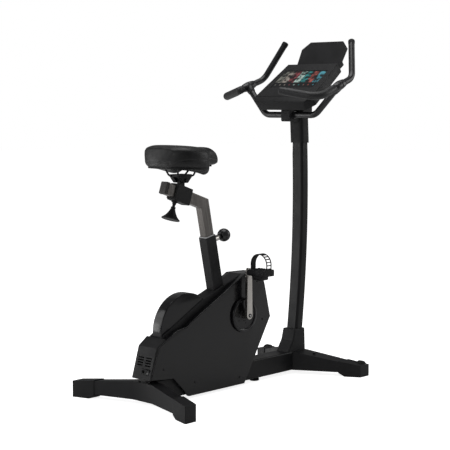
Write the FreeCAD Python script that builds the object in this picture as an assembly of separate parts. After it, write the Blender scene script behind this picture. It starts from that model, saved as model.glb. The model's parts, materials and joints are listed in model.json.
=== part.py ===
import FreeCAD, Part
import math
import os
from FreeCAD import Vector

# Upright exercise bike. Millimetres, +Z up, +X to the front (the way the rider faces),
# +Y to the rider's left. The crank axis stands over the middle of the footprint.

# ---- overall ---------------------------------------------------------------
HALF_LENGTH = 555.0          # origin to the rear end of the rear foot bar
REAR_BAR_HALF = 297.0        # half the width of the rear foot bar
FRONT_BAR_HALF = 275.0       # half the width of the front foot bar
CRANK_HEIGHT = 280.0
CRANK_LENGTH = 170.0

# ---- base frame ------------------------------------------------------------
BEAM_WIDTH = 70.0
BEAM_BOTTOM = 16.0
BEAM_TOP = 90.0
TUBE_WALL = 2.5
REAR_BAR_SWEEP = 75.0        # how far the bar's ends stand behind its middle
REAR_BAR_DEPTH = 48.0
REAR_BAR_TOP = 84.0
REAR_BAR_TIP_TOP = 58.0
REAR_BAR_FLAT = 50.0         # half width of the straight middle stretch
FRONT_BAR_REAR_X = 309.0
FRONT_BAR_FLAT = 35.0
FRONT_BAR_SWEEP = 135.0
FRONT_BAR_MIDDLE_DEPTH = 84.0
FRONT_BAR_TIP_DEPTH = 49.0
FRONT_BAR_TIP_TOP = 44.0
FOOT_LENGTH = 90.0           # each plastic end foot, along Y
FOOT_SKIN = 2.5
FOOT_RAMP = 22.0
FRONT_FOOT_LENGTH = 78.0
CENTRE_FOOT_X = 118.0
CENTRE_FOOT_RADIUS = 19.0
CENTRE_FOOT_PAD = 9.0
CENTRE_FOOT_STUD = 5.0

# ---- transport wheels ------------------------------------------------------
WHEEL_RADIUS = 27.0
WHEEL_WIDTH = 22.0
WHEEL_AXLE_X = 478.0
WHEEL_AXLE_Z = 33.0
WHEEL_Y = 247.0
WHEEL_AXLE_RADIUS = 4.0
WHEEL_GAP = 1.5              # beside and around a wheel
RUNNING_FIT = 0.05           # radial clearance of a shaft in its hole
CLEAR = 0.4                  # between faces that pass each other

# ---- mast and neck ---------------------------------------------------------
MAST_WIDTH = 54.0
MAST_DEPTH = 42.0
MAST_CORNER = 9.0
MAST_FOOT_X = 350.0
MAST_MIDDLE_X = 389.0
MAST_TOP_X = 379.0
MAST_TOP_Z = 1046.0
BOOT_TOP_Z = 178.0
BOOT_SKIN = 6.0
NECK_BOTTOM_Z = 925.0
NECK_SKIN = 5.5
BOOT_REAR_X = FRONT_BAR_REAR_X - 24

# ---- handlebar -------------------------------------------------------------
BAR_RADIUS = 12.5
GRIP_RADIUS = 15.5
GRIP_OVERHANG = 4.0          # foam past the tube's end
GRIP_SHARE = 0.42            # of the run from the rear bend to the front one
BAR_COLLAR = 2.0             # added to the tube's radius inside the clamp
CLAMP_HALF_WIDTH = 22.0
CLAMP_DEPTH = 30.0
BAR_AXIS_X = 326.0
BAR_AXIS_Z = 1036.0
CLAMP_TOP_Z = BAR_AXIS_Z + CLAMP_DEPTH - 6
NECK_REACH = 25.0            # how far the console's neck comes back over the clamp
NECK_GAP = 1.5

# ---- console ---------------------------------------------------------------
CONSOLE_X = 282.0            # lower edge of the sloping face
CONSOLE_Z = 1109.0
CONSOLE_SLOPE = 36.0         # degrees above level
CONSOLE_LENGTH = 223.0       # up the slope
CONSOLE_HALF_BOTTOM = 148.0
CONSOLE_HALF_TOP = 129.0
CONSOLE_THICKNESS = 45.0
CONSOLE_WALL = 2.5
BEZEL_THICKNESS = 8.0
SCREEN_HALF_WIDTH = 110.0
SCREEN_LOW = 60.0            # screen's lower edge, up the slope
SCREEN_HIGH = 176.0
DIAL_UP_SLOPE = 34.0
DIAL_RADIUS = 17.0
DIAL_HEIGHT = 9.0
DIAL_SHAFT_RADIUS = 6.0
DIAL_WELL = 3.0              # depth of the dial's middle recess
DIAL_BUTTON_RADIUS = 9.0
DIAL_PRESS = 1.2
BUTTON_STEM = 3.0
SCREEN_FLANGE = 4.0
SCREEN_BACK = 3.0
SCREEN_SINK = 1.0            # glass below the bezel's face
RACK_LEAN = 29.0             # degrees forward of upright
RACK_HEIGHT = 102.0
RACK_HALF_WIDTH = 118.0
RACK_THICKNESS = 5.0
RACK_CHAMFER = 34.0
RACK_FOOT = 22.0
RACK_X = CONSOLE_X + (CONSOLE_LENGTH + RACK_FOOT + 2) * math.cos(math.radians(CONSOLE_SLOPE)) + 21
RACK_Z = CONSOLE_Z + (CONSOLE_LENGTH + RACK_FOOT - 9) * math.sin(math.radians(CONSOLE_SLOPE)) - 6

# ---- housing ---------------------------------------------------------------
HOUSING_HALF = 50.0
SHELL = 3.0
RIDGE_HALF = 28.0
SEAM = 0.25
TAIL_ROUND = 10.0
VENT_TOP_Z = 172.0
VENT_PITCH = 9.0
VENT_HEIGHT = 4.0
VENT_LENGTH = 28.0
VENT_Y = 20.0
VENT_ROWS = 4
INLET_HALF = 10.0
INLET_X = -480.0
INLET_Y = -6.0
INLET_Z = 126.0
ROCKER_X = INLET_X + 10
ROCKER_Y = -26.0
ROCKER_HALF = 5.0
ROCKER_PIN = 1.5
SCREW_RADIUS = 4.0
SCREW_HEAD = 1.6
SCREW_PLACES = [(-420.0, 130.0), (-260.0, 60.0), (-20.0, 40.0), (110.0, 250.0), (80.0, 400.0)]

# ---- drive -----------------------------------------------------------------
DRIVE_PULLEY_RADIUS = 90.0
FLYWHEEL_PULLEY_RADIUS = 17.0
BELT_Y = 26.0                # inner side of the belt's plane
BELT_WIDTH = 10.0
BELT_THICKNESS = 2.5
BELT_GAP = 0.3
FLYWHEEL_X = -274.0
FLYWHEEL_Z = 256.0
FLYWHEEL_RADIUS = 125.0
FLYWHEEL_HALF = 11.0
FLYWHEEL_SHAFT_RADIUS = 8.5
DRUM_RADIUS = 133.5
DRUM_HALF = 22.7
FORK_INNER = 14.5
FORK_PLATE = 4.0
CRANK_SHAFT_RADIUS = 10.0
CRANK_SHELL_RADIUS = 24.0
CRANK_SHELL_HALF = 22.0
BEARING_RADIUS = 20.0
BEARING_WIDTH = 9.0
IDLER_RADIUS = 15.0
IDLER_X = -150.0
IDLER_PIN_RADIUS = 4.0
IDLER_FIT = 0.1              # radial clearance of the idler on its pin
FORK_BEARING = 15.0          # outer radius of the flywheel's bearings
FLYWHEEL_HUB = 20.0
FLYWHEEL_RIM = 26.0          # radial width of the full-thickness rim
PULLEY_HOLES = 5
PULLEY_HOLE_RADIUS = 20.0
PULLEY_HOLE_AT = 54.0
BRAKE_X = FLYWHEEL_X + 38
BRAKE_Z = BEAM_TOP + 18
BRAKE_PIN = 4.0
BRAKE_GAP = 4.0              # from the flywheel's rim to the magnets
BRAKE_SHOE = 8.0
BRAKE_HALF = 13.0

# ---- cranks and pedals -----------------------------------------------------
DISC_RADIUS = 67.0
DISC_IN = 51.5               # |Y| of the disc's inner face
DISC_THICKNESS = 7.0
ARM_IN = 71.0
ARM_THICKNESS = 14.0
ARM_WIDTH_HUB = 30.0
ARM_WIDTH_TIP = 24.0
SPINDLE_RADIUS = 6.0
CRANK_BOLT = 7.0             # radius of the bolt's head
PEDAL_GAP = 5.0
PEDAL_WIDTH = 90.0
PEDAL_LENGTH = 62.0
PEDAL_HEIGHT = 26.0
STRAP_THICKNESS = 3.0
STRAP_WIDTH = 26.0
STRAP_RISE = 58.0
STRAP_INSET = 8.0            # from the platform's inner end

# ---- seat ------------------------------------------------------------------
SEAT_LEAN = 12.0             # degrees behind upright
SEAT_TUBE_TOP_X = -146.0
SEAT_TUBE_TOP_Z = 587.0
POST_DEPTH = 43.0
POST_WIDTH = 32.0
POST_RISE = 128.0            # tube top to the bend
POST_INSERT = 240.0
POST_GAP = 0.5
POST_HOLE_PITCH = 20.0
POST_HOLES_DOWN = 5          # pin holes below the one the pin faces at rest
POST_HOLES_UP = 4
LINER = 1.5                  # from the post to the seat tube's inside
SEAT_TUBE_WALL = 2.5
SEAT_TUBE_DEPTH = POST_DEPTH + 2 * (LINER + SEAT_TUBE_WALL)
SEAT_TUBE_WIDTH = POST_WIDTH + 2 * (LINER + SEAT_TUBE_WALL)
ARM_RISE = 19.0              # degrees, the post's rear arm climbs to the rear
SEAT_ARM_LENGTH = 200.0
CARRIAGE_AT = 121.0          # along the arm from the bend to the carriage's middle
CARRIAGE_LENGTH = 78.0
CARRIAGE_WALL = 9.0
CARRIAGE_SIDE = 5.0
LOCK_AT = -CARRIAGE_AT - 18
STEM_HALF = 9.0
CAP_HEAD = 12.0
PIN_AT = 20.0                # below the seat tube's top
PIN_RADIUS = 5.0
PIN_KNOB_RADIUS = 25.0
PIN_COLLAR = 42.0            # from the tube's face to the knob's seat
PIN_HOLE = 5.5
LOCK_KNOB_RADIUS = 34.0
LOCK_STUD_RADIUS = 5.0

# ---- saddle ----------------------------------------------------------------
SADDLE_REAR_X = -394.0
SADDLE_NOSE_X = -94.0
SADDLE_HALF = 124.0
SADDLE_NOSE_HALF = 34.0
SADDLE_BOTTOM = 846.0        # underside of the saddle's pan, over the rails
SADDLE_TOP = 929.0
SADDLE_WELL_HALF = 50.0      # half width of the hollow under the pan
SADDLE_ROUND = 12.0
RAIL_RADIUS = 3.5
RAIL_Y = 22.0
RAIL_Z = 819.0
TILT_X = -283.0
TILT_Z = 803.0
TILT_BOLT = 4.0
JAW_HALF = 27.0


# ---- shape helpers -----------------------------------------------------------
def box(x0, x1, y0, y1, z0, z1):
    return Part.makeBox(x1 - x0, y1 - y0, z1 - z0, Vector(x0, y0, z0))


def rod(x, y, z, radius, length, axis):
    return Part.makeCylinder(radius, length, Vector(x, y, z), axis)


def rod_y(x, z, radius, y0, y1):
    return rod(x, y0, z, radius, y1 - y0, Vector(0, 1, 0))


def prism(corners, along):
    wire = Part.makePolygon(corners + [corners[0]])
    return Part.Face(wire).extrude(along)


def side_prism(outline, y0, y1):
    """Outline of (x, z) corners, from y0 to y1."""
    return prism([Vector(x, y0, z) for x, z in outline], Vector(0, y1 - y0, 0))


def plan_prism(outline, z0, z1):
    """Outline of (x, y) corners, from z0 to z1."""
    return prism([Vector(x, y, z0) for x, y in outline], Vector(0, 0, z1 - z0))


def front_prism(outline, x0, x1):
    """Outline of (y, z) corners, from x0 to x1."""
    return prism([Vector(x0, y, z) for y, z in outline], Vector(x1 - x0, 0, 0))


def other_side(shape):
    return shape.mirror(Vector(0, 0, 0), Vector(0, 1, 0))


def both_sides(shape):
    return Part.makeCompound([shape, other_side(shape)])


def mirror_outline(half):
    """Closes an outline given for +Y, of (a, y) corners, with its -Y half."""
    return half + [(a, -y) for a, y in reversed(half)]


def inset(outline, distance):
    """Moves every side of a closed outline inwards, with mitred corners."""
    area = sum(a[0] * b[1] - b[0] * a[1] for a, b in zip(outline, outline[1:] + outline[:1]))
    turn = 1.0 if area > 0 else -1.0
    moved = []
    for before, here, after in zip(outline[-1:] + outline[:-1], outline, outline[1:] + outline[:1]):
        ux, uz = unit(here[0] - before[0], here[1] - before[1])
        vx, vz = unit(after[0] - here[0], after[1] - here[1])
        bx, bz = unit(ux + vx, uz + vz)
        reach = turn * distance / (bx * ux + bz * uz)
        moved.append((here[0] - bz * reach, here[1] + bx * reach))
    return moved


def unit(x, z):
    length = math.hypot(x, z)
    return x / length, z / length


def round_edges(shape, radius, wanted):
    edges = [edge for edge in shape.Edges if wanted(edge)]
    return shape.makeFillet(radius, edges)


def runs_along(edge, direction, slack=0.02):
    start = edge.valueAt(edge.FirstParameter)
    end = edge.valueAt(edge.LastParameter)
    run = end - start
    return run.Length > 1.0 and abs(run.normalize().dot(direction)) > 1.0 - slack


def turn_about_y(shape, degrees, x, z):
    """Turns about +Y at the origin, then moves the origin to (x, z)."""
    shape.rotate(Vector(0, 0, 0), Vector(0, 1, 0), degrees)
    shape.translate(Vector(x, 0, z))
    return shape


def swept_tube(points, radius, bends):
    """A round bar along straight runs joined by tangent arcs, one bend radius per inner point."""
    edges = []
    start = points[0]
    for before, corner, after, bend in zip(points, points[1:], points[2:], bends):
        back = (before - corner).normalize()
        ahead = (after - corner).normalize()
        half_turn = (math.pi - back.getAngle(ahead)) / 2
        cut = bend * math.tan(half_turn)
        first = corner + back * cut
        last = corner + ahead * cut
        inward = (back + ahead).normalize()
        centre = corner + inward * (bend / math.cos(half_turn))
        edges.append(Part.LineSegment(start, first).toShape())
        edges.append(Part.Arc(first, centre - inward * bend, last).toShape())
        start = last
    edges.append(Part.LineSegment(start, points[-1]).toShape())
    path = Part.Wire(edges)
    ring = Part.Wire([Part.Circle(points[0], points[1] - points[0], radius).toShape()])
    return path.makePipeShell([ring], True, True)


def loop_round(x1, z1, r1, x2, z2, r2):
    """Wire in the Y = 0 plane of a band pulled tight round two circles."""
    span = math.hypot(x2 - x1, z2 - z1)
    heading = math.atan2(z2 - z1, x2 - x1)
    tilt = math.acos((r1 - r2) / span)

    def point(x, z, r, angle):
        return Vector(x + r * math.cos(angle), 0, z + r * math.sin(angle))

    up1 = point(x1, z1, r1, heading + tilt)
    up2 = point(x2, z2, r2, heading + tilt)
    low1 = point(x1, z1, r1, heading - tilt)
    low2 = point(x2, z2, r2, heading - tilt)
    edges = [
        Part.LineSegment(up1, up2).toShape(),
        Part.Arc(up2, point(x2, z2, r2, heading), low2).toShape(),
        Part.LineSegment(low2, low1).toShape(),
        Part.Arc(low1, point(x1, z1, r1, heading + math.pi), up1).toShape(),
    ]
    return Part.Wire(edges)


def band(x1, z1, r1, x2, z2, r2, y0, y1):
    wire = loop_round(x1, z1, r1, x2, z2, r2)
    shape = Part.Face(wire).extrude(Vector(0, y1 - y0, 0))
    shape.translate(Vector(0, y0, 0))
    return shape


# ---- places worked out from the sizes -----------------------------------------
REAR_BAR_X = -HALF_LENGTH + REAR_BAR_SWEEP             # rear face, at the middle
REAR_BAR_FRONT_X = REAR_BAR_X + REAR_BAR_DEPTH
FRONT_BAR_FRONT_X = FRONT_BAR_REAR_X + FRONT_BAR_MIDDLE_DEPTH
FLYWHEEL_PULLEY_END = BELT_Y + BELT_WIDTH
LEAN = math.radians(SEAT_LEAN)
SEAT_TUBE_REACH = SEAT_TUBE_TOP_Z / math.cos(LEAN)     # long enough to be trimmed on the beam
RISE = math.radians(ARM_RISE)
BEND_X = SEAT_TUBE_TOP_X - POST_RISE * math.sin(LEAN)
BEND_Z = SEAT_TUBE_TOP_Z + POST_RISE * math.cos(LEAN)
PEDAL_IN = ARM_IN + ARM_THICKNESS + PEDAL_GAP
PEDAL_Z = CRANK_HEIGHT + CRANK_LENGTH

# Side view of the housing, from the rear top corner round by the bottom and the front.
HOUSING_OUTLINE = [
    (-440.0, 216.0), (-484.0, 98.0), (-370.0, 90.0), (-290.0, 12.0), (8.0, 12.0),
    (156.0, 256.0), (124.0, 383.0), (106.0, 433.0), (9.0, 435.0), (-281.0, 285.0),
    (-300.0, 270.0), (-352.0, 263.0),
]
# The raised ridge between the side covers, which carries the flywheel's guard.
RIDGE_TOP = [(-410.0, 243.0), (-190.0, 360.0), (9.0, 435.0)]
RIDGE_FOOT = [(0.0, 424.0), (-281.0, 279.0), (-404.0, 216.0)]
# Room that the side covers leave under the ridge.
RIDGE_SLOT = [(-420.0, 190.0), (-420.0, 260.0), (-190.0, 370.0), (-60.0, 420.0), (-60.0, 380.0),
              (-190.0, 300.0)]
TAIL_OUTLINE = [(-487.0, 98.0), (-453.0, 212.0), (-412.0, 241.0), (-404.0, 216.0),
                (-440.0, 205.0), (-476.0, 101.0)]


def along_arm(shape):
    """Places a shape drawn with its bend at the origin and the arm along -X."""
    return turn_about_y(shape, ARM_RISE, BEND_X, BEND_Z)


def along_seat_tube(shape):
    """Places a shape drawn upright with the seat tube's top at the origin."""
    return turn_about_y(shape, -SEAT_LEAN, SEAT_TUBE_TOP_X, SEAT_TUBE_TOP_Z)


def on_console(shape):
    """Places a shape drawn flat, X up the slope and Z out of the face."""
    return turn_about_y(shape, -CONSOLE_SLOPE, CONSOLE_X, CONSOLE_Z)


# ---- base frame ----------------------------------------------------------------
def rear_bar_at(y):
    """Rear face X and top Z of the rear bar at |Y|."""
    share = (y - REAR_BAR_FLAT) / (REAR_BAR_HALF - REAR_BAR_FLAT)
    return REAR_BAR_X - REAR_BAR_SWEEP * share, REAR_BAR_TOP + (REAR_BAR_TIP_TOP - REAR_BAR_TOP) * share


def front_bar_at(y):
    """Rear face X, front face X and top Z of the front bar at |Y|."""
    share = (y - FRONT_BAR_FLAT) / (FRONT_BAR_HALF - FRONT_BAR_FLAT)
    rear = FRONT_BAR_REAR_X + FRONT_BAR_SWEEP * share
    depth = FRONT_BAR_MIDDLE_DEPTH + (FRONT_BAR_TIP_DEPTH - FRONT_BAR_MIDDLE_DEPTH) * share
    return rear, rear + depth, BEAM_TOP + (FRONT_BAR_TIP_TOP - BEAM_TOP) * share


def rear_wing(half, flat, skin, bottom):
    """The rear bar's body out to |Y| = half, drawn oversize by skin."""
    x_end, top_end = rear_bar_at(half)
    plan = mirror_outline([(REAR_BAR_X - skin, flat), (x_end - skin, half),
                           (x_end + REAR_BAR_DEPTH + skin, half), (REAR_BAR_FRONT_X + skin, flat)])
    side = mirror_outline([(bottom, half), (top_end + skin, half), (REAR_BAR_TOP + skin, flat)])
    outline = [(y, z) for z, y in side]
    tall = plan_prism(plan, bottom, REAR_BAR_TOP + skin)
    return tall.common(front_prism(outline, -HALF_LENGTH - 50, 0))


def front_wing(half, flat, skin, bottom):
    rear_end, front_end, top_end = front_bar_at(half)
    plan = mirror_outline([(FRONT_BAR_REAR_X - skin, flat), (rear_end - skin, half),
                           (front_end + skin, half), (FRONT_BAR_FRONT_X + skin, flat)])
    side = mirror_outline([(bottom, half), (top_end + skin, half), (BEAM_TOP + skin, flat)])
    outline = [(y, z) for z, y in side]
    tall = plan_prism(plan, bottom, BEAM_TOP + skin)
    return tall.common(front_prism(outline, 0, HALF_LENGTH + 50))


def rear_stabiliser():
    inside = REAR_BAR_HALF - FOOT_SKIN
    outer = rear_wing(inside, REAR_BAR_FLAT, 0, BEAM_BOTTOM)
    return outer.cut(rear_wing(inside, REAR_BAR_FLAT, -TUBE_WALL, BEAM_BOTTOM + TUBE_WALL))


def front_stabiliser():
    inside = FRONT_BAR_HALF - FRONT_FOOT_LENGTH + FOOT_RAMP
    outer = front_wing(inside, FRONT_BAR_FLAT, 0, BEAM_BOTTOM)
    bar = outer.cut(front_wing(inside, FRONT_BAR_FLAT, -TUBE_WALL, BEAM_BOTTOM + TUBE_WALL))
    return bar.cut(frame_bolts())


def foot_side(half, length, top_inner, top_tip):
    """Front view (y, z) of one left end foot, with the ramp down to the floor."""
    inner = half - length
    return [(inner, BEAM_BOTTOM - FOOT_SKIN), (inner + FOOT_RAMP, 0), (half, 0),
            (half, top_tip), (inner, top_inner)]


def rear_feet():
    inner = REAR_BAR_HALF - FOOT_LENGTH
    x_in, top_in = rear_bar_at(inner)
    x_tip, top_tip = rear_bar_at(REAR_BAR_HALF)
    plan = [(x_in - FOOT_SKIN, inner), (x_tip - FOOT_SKIN, REAR_BAR_HALF),
            (x_tip + REAR_BAR_DEPTH + FOOT_SKIN, REAR_BAR_HALF),
            (x_in + REAR_BAR_DEPTH + FOOT_SKIN, inner)]
    side = foot_side(REAR_BAR_HALF, FOOT_LENGTH, top_in + FOOT_SKIN, top_tip + FOOT_SKIN)
    foot = plan_prism(plan, 0, REAR_BAR_TOP).common(front_prism(side, -HALF_LENGTH - 50, 0))
    foot = round_edges(foot, FOOT_SKIN, lambda e: runs_along(e, Vector(0, 0, 1)))
    bar = rear_wing(REAR_BAR_HALF - FOOT_SKIN, REAR_BAR_FLAT, 0, BEAM_BOTTOM)
    return both_sides(foot.cut(bar))


def front_feet():
    inner = FRONT_BAR_HALF - FRONT_FOOT_LENGTH
    rear_in, front_in, top_in = front_bar_at(inner)
    rear_tip, front_tip, top_tip = front_bar_at(FRONT_BAR_HALF)
    plan = [(rear_in - FOOT_SKIN, inner), (rear_tip - FOOT_SKIN, FRONT_BAR_HALF),
            (front_tip + FOOT_SKIN, FRONT_BAR_HALF), (front_in + FOOT_SKIN, inner)]
    side = foot_side(FRONT_BAR_HALF, FRONT_FOOT_LENGTH, top_in + FOOT_SKIN, top_tip + FOOT_SKIN)
    foot = plan_prism(plan, 0, BEAM_TOP).common(front_prism(side, 0, HALF_LENGTH))
    ear = rod_y(WHEEL_AXLE_X, WHEEL_AXLE_Z, WHEEL_AXLE_RADIUS + 6, inner + FOOT_RAMP, FRONT_BAR_HALF)
    foot = foot.fuse(ear).removeSplitter()
    half_pocket = WHEEL_WIDTH / 2 + WHEEL_GAP
    foot = foot.cut(rod_y(WHEEL_AXLE_X, WHEEL_AXLE_Z, WHEEL_RADIUS + 2 * WHEEL_GAP,
                          WHEEL_Y - half_pocket, WHEEL_Y + half_pocket))
    foot = foot.cut(box(WHEEL_AXLE_X, HALF_LENGTH, WHEEL_Y - half_pocket, WHEEL_Y + half_pocket,
                        0, BEAM_TOP))
    foot = foot.cut(rod_y(WHEEL_AXLE_X, WHEEL_AXLE_Z, WHEEL_AXLE_RADIUS, inner, FRONT_BAR_HALF))
    foot = foot.cut(front_stabiliser_core())
    return both_sides(foot)


def front_stabiliser_core():
    inside = FRONT_BAR_HALF - FRONT_FOOT_LENGTH + FOOT_RAMP
    return front_wing(inside, FRONT_BAR_FLAT, 0, BEAM_BOTTOM)


def wheel_axles():
    inner = FRONT_BAR_HALF - FRONT_FOOT_LENGTH + FOOT_RAMP
    return both_sides(rod_y(WHEEL_AXLE_X, WHEEL_AXLE_Z, WHEEL_AXLE_RADIUS, inner, FRONT_BAR_HALF))


def transport_wheel():
    y0 = WHEEL_Y - WHEEL_WIDTH / 2
    wheel = rod_y(WHEEL_AXLE_X, WHEEL_AXLE_Z, WHEEL_RADIUS, y0, y0 + WHEEL_WIDTH)
    wheel = round_edges(wheel, WHEEL_WIDTH / 6, lambda e: e.Length > 10)
    return wheel.cut(rod_y(WHEEL_AXLE_X, WHEEL_AXLE_Z, WHEEL_AXLE_RADIUS + RUNNING_FIT,
                           y0, y0 + WHEEL_WIDTH))


def main_beam():
    half = BEAM_WIDTH / 2
    outer = box(REAR_BAR_FRONT_X, FRONT_BAR_REAR_X, -half, half, BEAM_BOTTOM, BEAM_TOP)
    outer = round_edges(outer, TUBE_WALL * 2, lambda e: runs_along(e, Vector(1, 0, 0)))
    inner = box(REAR_BAR_FRONT_X, FRONT_BAR_REAR_X, -half + TUBE_WALL, half - TUBE_WALL,
                BEAM_BOTTOM + TUBE_WALL, BEAM_TOP - TUBE_WALL)
    beam = outer.cut(inner)
    return beam.cut(rod(CENTRE_FOOT_X, 0, BEAM_BOTTOM, CENTRE_FOOT_STUD, TUBE_WALL, Vector(0, 0, 1)))


def centre_foot():
    pad = rod(CENTRE_FOOT_X, 0, 0, CENTRE_FOOT_RADIUS, CENTRE_FOOT_PAD, Vector(0, 0, 1))
    pad = round_edges(pad, CENTRE_FOOT_PAD / 4, lambda e: e.Length > 10)
    stud_height = BEAM_BOTTOM + 4 * TUBE_WALL
    return pad.fuse(rod(CENTRE_FOOT_X, 0, 0, CENTRE_FOOT_STUD, stud_height, Vector(0, 0, 1)))


# ---- mast and neck ---------------------------------------------------------------
def mast_arc():
    """Centre (x, z) and radius of the circle through the mast's three stations."""
    x1, z1 = MAST_FOOT_X, BEAM_TOP
    x2, z2 = MAST_MIDDLE_X, (BEAM_TOP + MAST_TOP_Z) / 2
    x3, z3 = MAST_TOP_X, MAST_TOP_Z
    d = 2 * (x1 * (z2 - z3) + x2 * (z3 - z1) + x3 * (z1 - z2))
    s1, s2, s3 = x1 * x1 + z1 * z1, x2 * x2 + z2 * z2, x3 * x3 + z3 * z3
    cx = (s1 * (z2 - z3) + s2 * (z3 - z1) + s3 * (z1 - z2)) / d
    cz = (s1 * (x3 - x2) + s2 * (x1 - x3) + s3 * (x2 - x1)) / d
    return cx, cz, math.hypot(x1 - cx, z1 - cz)


def mast_body(grow, z0, z1):
    """The mast's curved bar between two heights, drawn oversize by grow, with round corners."""
    cx, cz, radius = mast_arc()
    half_depth = MAST_DEPTH / 2 + grow
    half_width = MAST_WIDTH / 2 + grow
    ring = rod_y(cx, cz, radius + half_depth, -half_width, half_width)
    ring = ring.cut(rod_y(cx, cz, radius - half_depth, -half_width, half_width))
    window = box(cx, cx + radius + MAST_DEPTH, -half_width, half_width, z0, z1)
    bar = ring.common(window)
    return round_edges(bar, MAST_CORNER + grow, lambda e: runs_along(e, Vector(0, 0, 1), 0.05))


def mast():
    return mast_body(0, BEAM_TOP, MAST_TOP_Z).cut(mast_body(-TUBE_WALL, BEAM_TOP, MAST_TOP_Z))


def mast_boot():
    half = MAST_WIDTH / 2 + BOOT_SKIN
    outline = [(BOOT_REAR_X, BEAM_TOP), (FRONT_BAR_FRONT_X - 2, BEAM_TOP),
               (MAST_FOOT_X + 37, BOOT_TOP_Z), (MAST_FOOT_X - 24, BOOT_TOP_Z),
               (MAST_FOOT_X - 36, BOOT_TOP_Z - 44)]
    boot = side_prism(outline, -half, half)
    boot = round_edges(boot, BOOT_SKIN, lambda e: abs(e.CenterOfMass.y) > half - 1
                       and e.CenterOfMass.z > BEAM_TOP + 1)
    return boot.cut(mast_body(0, BEAM_TOP, MAST_TOP_Z))


def neck_sleeve():
    outer = mast_body(NECK_SKIN, NECK_BOTTOM_Z, MAST_TOP_Z)
    return outer.cut(mast_body(0, NECK_BOTTOM_Z, MAST_TOP_Z))


def handlebar_clamp():
    """Two jaws round the bar: the front one is bolted to the mast, the rear one is the cap."""
    cx, cz, radius = mast_arc()
    sleeve_face = cx + math.sqrt((radius - MAST_DEPTH / 2 - NECK_SKIN) ** 2 - (BAR_AXIS_Z - cz) ** 2)
    low, high = BAR_AXIS_Z - CLAMP_DEPTH + 4, CLAMP_TOP_Z
    half = CLAMP_HALF_WIDTH
    bore = rod_y(BAR_AXIS_X, BAR_AXIS_Z, BAR_RADIUS + BAR_COLLAR + RUNNING_FIT, -half, half)
    front = box(BAR_AXIS_X + SEAM, sleeve_face + NECK_SKIN, -half, half, low, MAST_TOP_Z)
    front = front.cut(bore).cut(mast_body(NECK_SKIN, NECK_BOTTOM_Z, MAST_TOP_Z + 1))
    rear = box(BAR_AXIS_X - CLAMP_DEPTH, BAR_AXIS_X - SEAM, -half, half, low, high)
    rear = round_edges(rear, CLAMP_DEPTH / 4, lambda e: e.CenterOfMass.x < BAR_AXIS_X - CLAMP_DEPTH + 1
                       and runs_along(e, Vector(0, 1, 0)))
    return Part.makeCompound([front, rear.cut(bore)])


# ---- handlebar -------------------------------------------------------------------
GRIP_END = Vector(144, 106, 1130)
GRIP_BEND = Vector(204, 246, 1104)
JUNCTION = Vector(338, 236, 1150)
HORN_BEND = Vector(426, 229, 1180)
HORN_TIP = Vector(494, 172, 1326)
BAR_BEND = Vector(BAR_AXIS_X, 128, BAR_AXIS_Z)


def left_bar():
    """Upper bar of the left hand: rear grip, bend, junction, bend, horn."""
    return swept_tube([GRIP_END, GRIP_BEND, HORN_BEND, HORN_TIP], BAR_RADIUS, [60, 60])


def handlebar_tube():
    cross = swept_tube([JUNCTION, BAR_BEND, Vector(BAR_AXIS_X, 0, BAR_AXIS_Z)], BAR_RADIUS, [50])
    left = cross.fuse(left_bar())
    reach = CLAMP_HALF_WIDTH + 4
    collar = rod_y(BAR_AXIS_X, BAR_AXIS_Z, BAR_RADIUS + BAR_COLLAR, -reach, reach)
    return left.fuse(other_side(left)).fuse(collar).removeSplitter()


def hand_grips():
    """Foam sleeves on the rear part of each upper bar, from the end to near the junction."""
    run = HORN_BEND - GRIP_BEND
    stop = GRIP_BEND + run * GRIP_SHARE
    overhang = (GRIP_END - GRIP_BEND).normalize() * GRIP_OVERHANG
    sleeve = swept_tube([GRIP_END + overhang, GRIP_BEND, stop], GRIP_RADIUS, [60])
    sleeve = sleeve.cut(left_bar())
    return both_sides(sleeve)


# ---- console -----------------------------------------------------------------------
def console_slab(grow, low, high):
    """The console's outline, X up the slope, between two depths behind the face."""
    bottom = CONSOLE_HALF_BOTTOM + grow
    top = CONSOLE_HALF_TOP + grow
    outline = [(-grow, -bottom), (CONSOLE_LENGTH + grow, -top), (CONSOLE_LENGTH + grow, top),
               (-grow, bottom)]
    return plan_prism(outline, low, high)


def console_back_shell():
    body = console_slab(0, -CONSOLE_THICKNESS, -BEZEL_THICKNESS)
    body = round_edges(body, 8, lambda e: e.CenterOfMass.z < -CONSOLE_THICKNESS + 1)
    hollow = console_slab(-CONSOLE_WALL, -CONSOLE_THICKNESS + CONSOLE_WALL, -BEZEL_THICKNESS)
    body = on_console(body.cut(hollow))
    socket = mast_body(NECK_SKIN, NECK_BOTTOM_Z, MAST_TOP_Z)
    half = MAST_WIDTH / 2 + NECK_SKIN + 8
    rear = MAST_TOP_X - 27
    neck = box(rear, MAST_TOP_X + 40, -half, half, MAST_TOP_Z, MAST_TOP_Z + 100)
    neck = neck.fuse(box(rear - NECK_REACH, rear, -half, half, CLAMP_TOP_Z + NECK_GAP, MAST_TOP_Z + 100))
    neck = round_edges(neck.removeSplitter(), 10, lambda e: runs_along(e, Vector(0, 0, 1)))
    room = on_console(console_slab(100, -CONSOLE_THICKNESS, 200))
    return body.fuse(neck.cut(room)).cut(socket).removeSplitter()


def console_bezel():
    frame = console_slab(0, -BEZEL_THICKNESS, 0)
    frame = round_edges(frame, 3, lambda e: e.CenterOfMass.z > -1)
    frame = frame.cut(box(SCREEN_LOW, SCREEN_HIGH, -SCREEN_HALF_WIDTH, SCREEN_HALF_WIDTH,
                          -BEZEL_THICKNESS, 0))
    frame = frame.cut(rod(DIAL_UP_SLOPE, 0, -BEZEL_THICKNESS, DIAL_SHAFT_RADIUS + RUNNING_FIT,
                          BEZEL_THICKNESS, Vector(0, 0, 1)))
    return on_console(frame)


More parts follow.
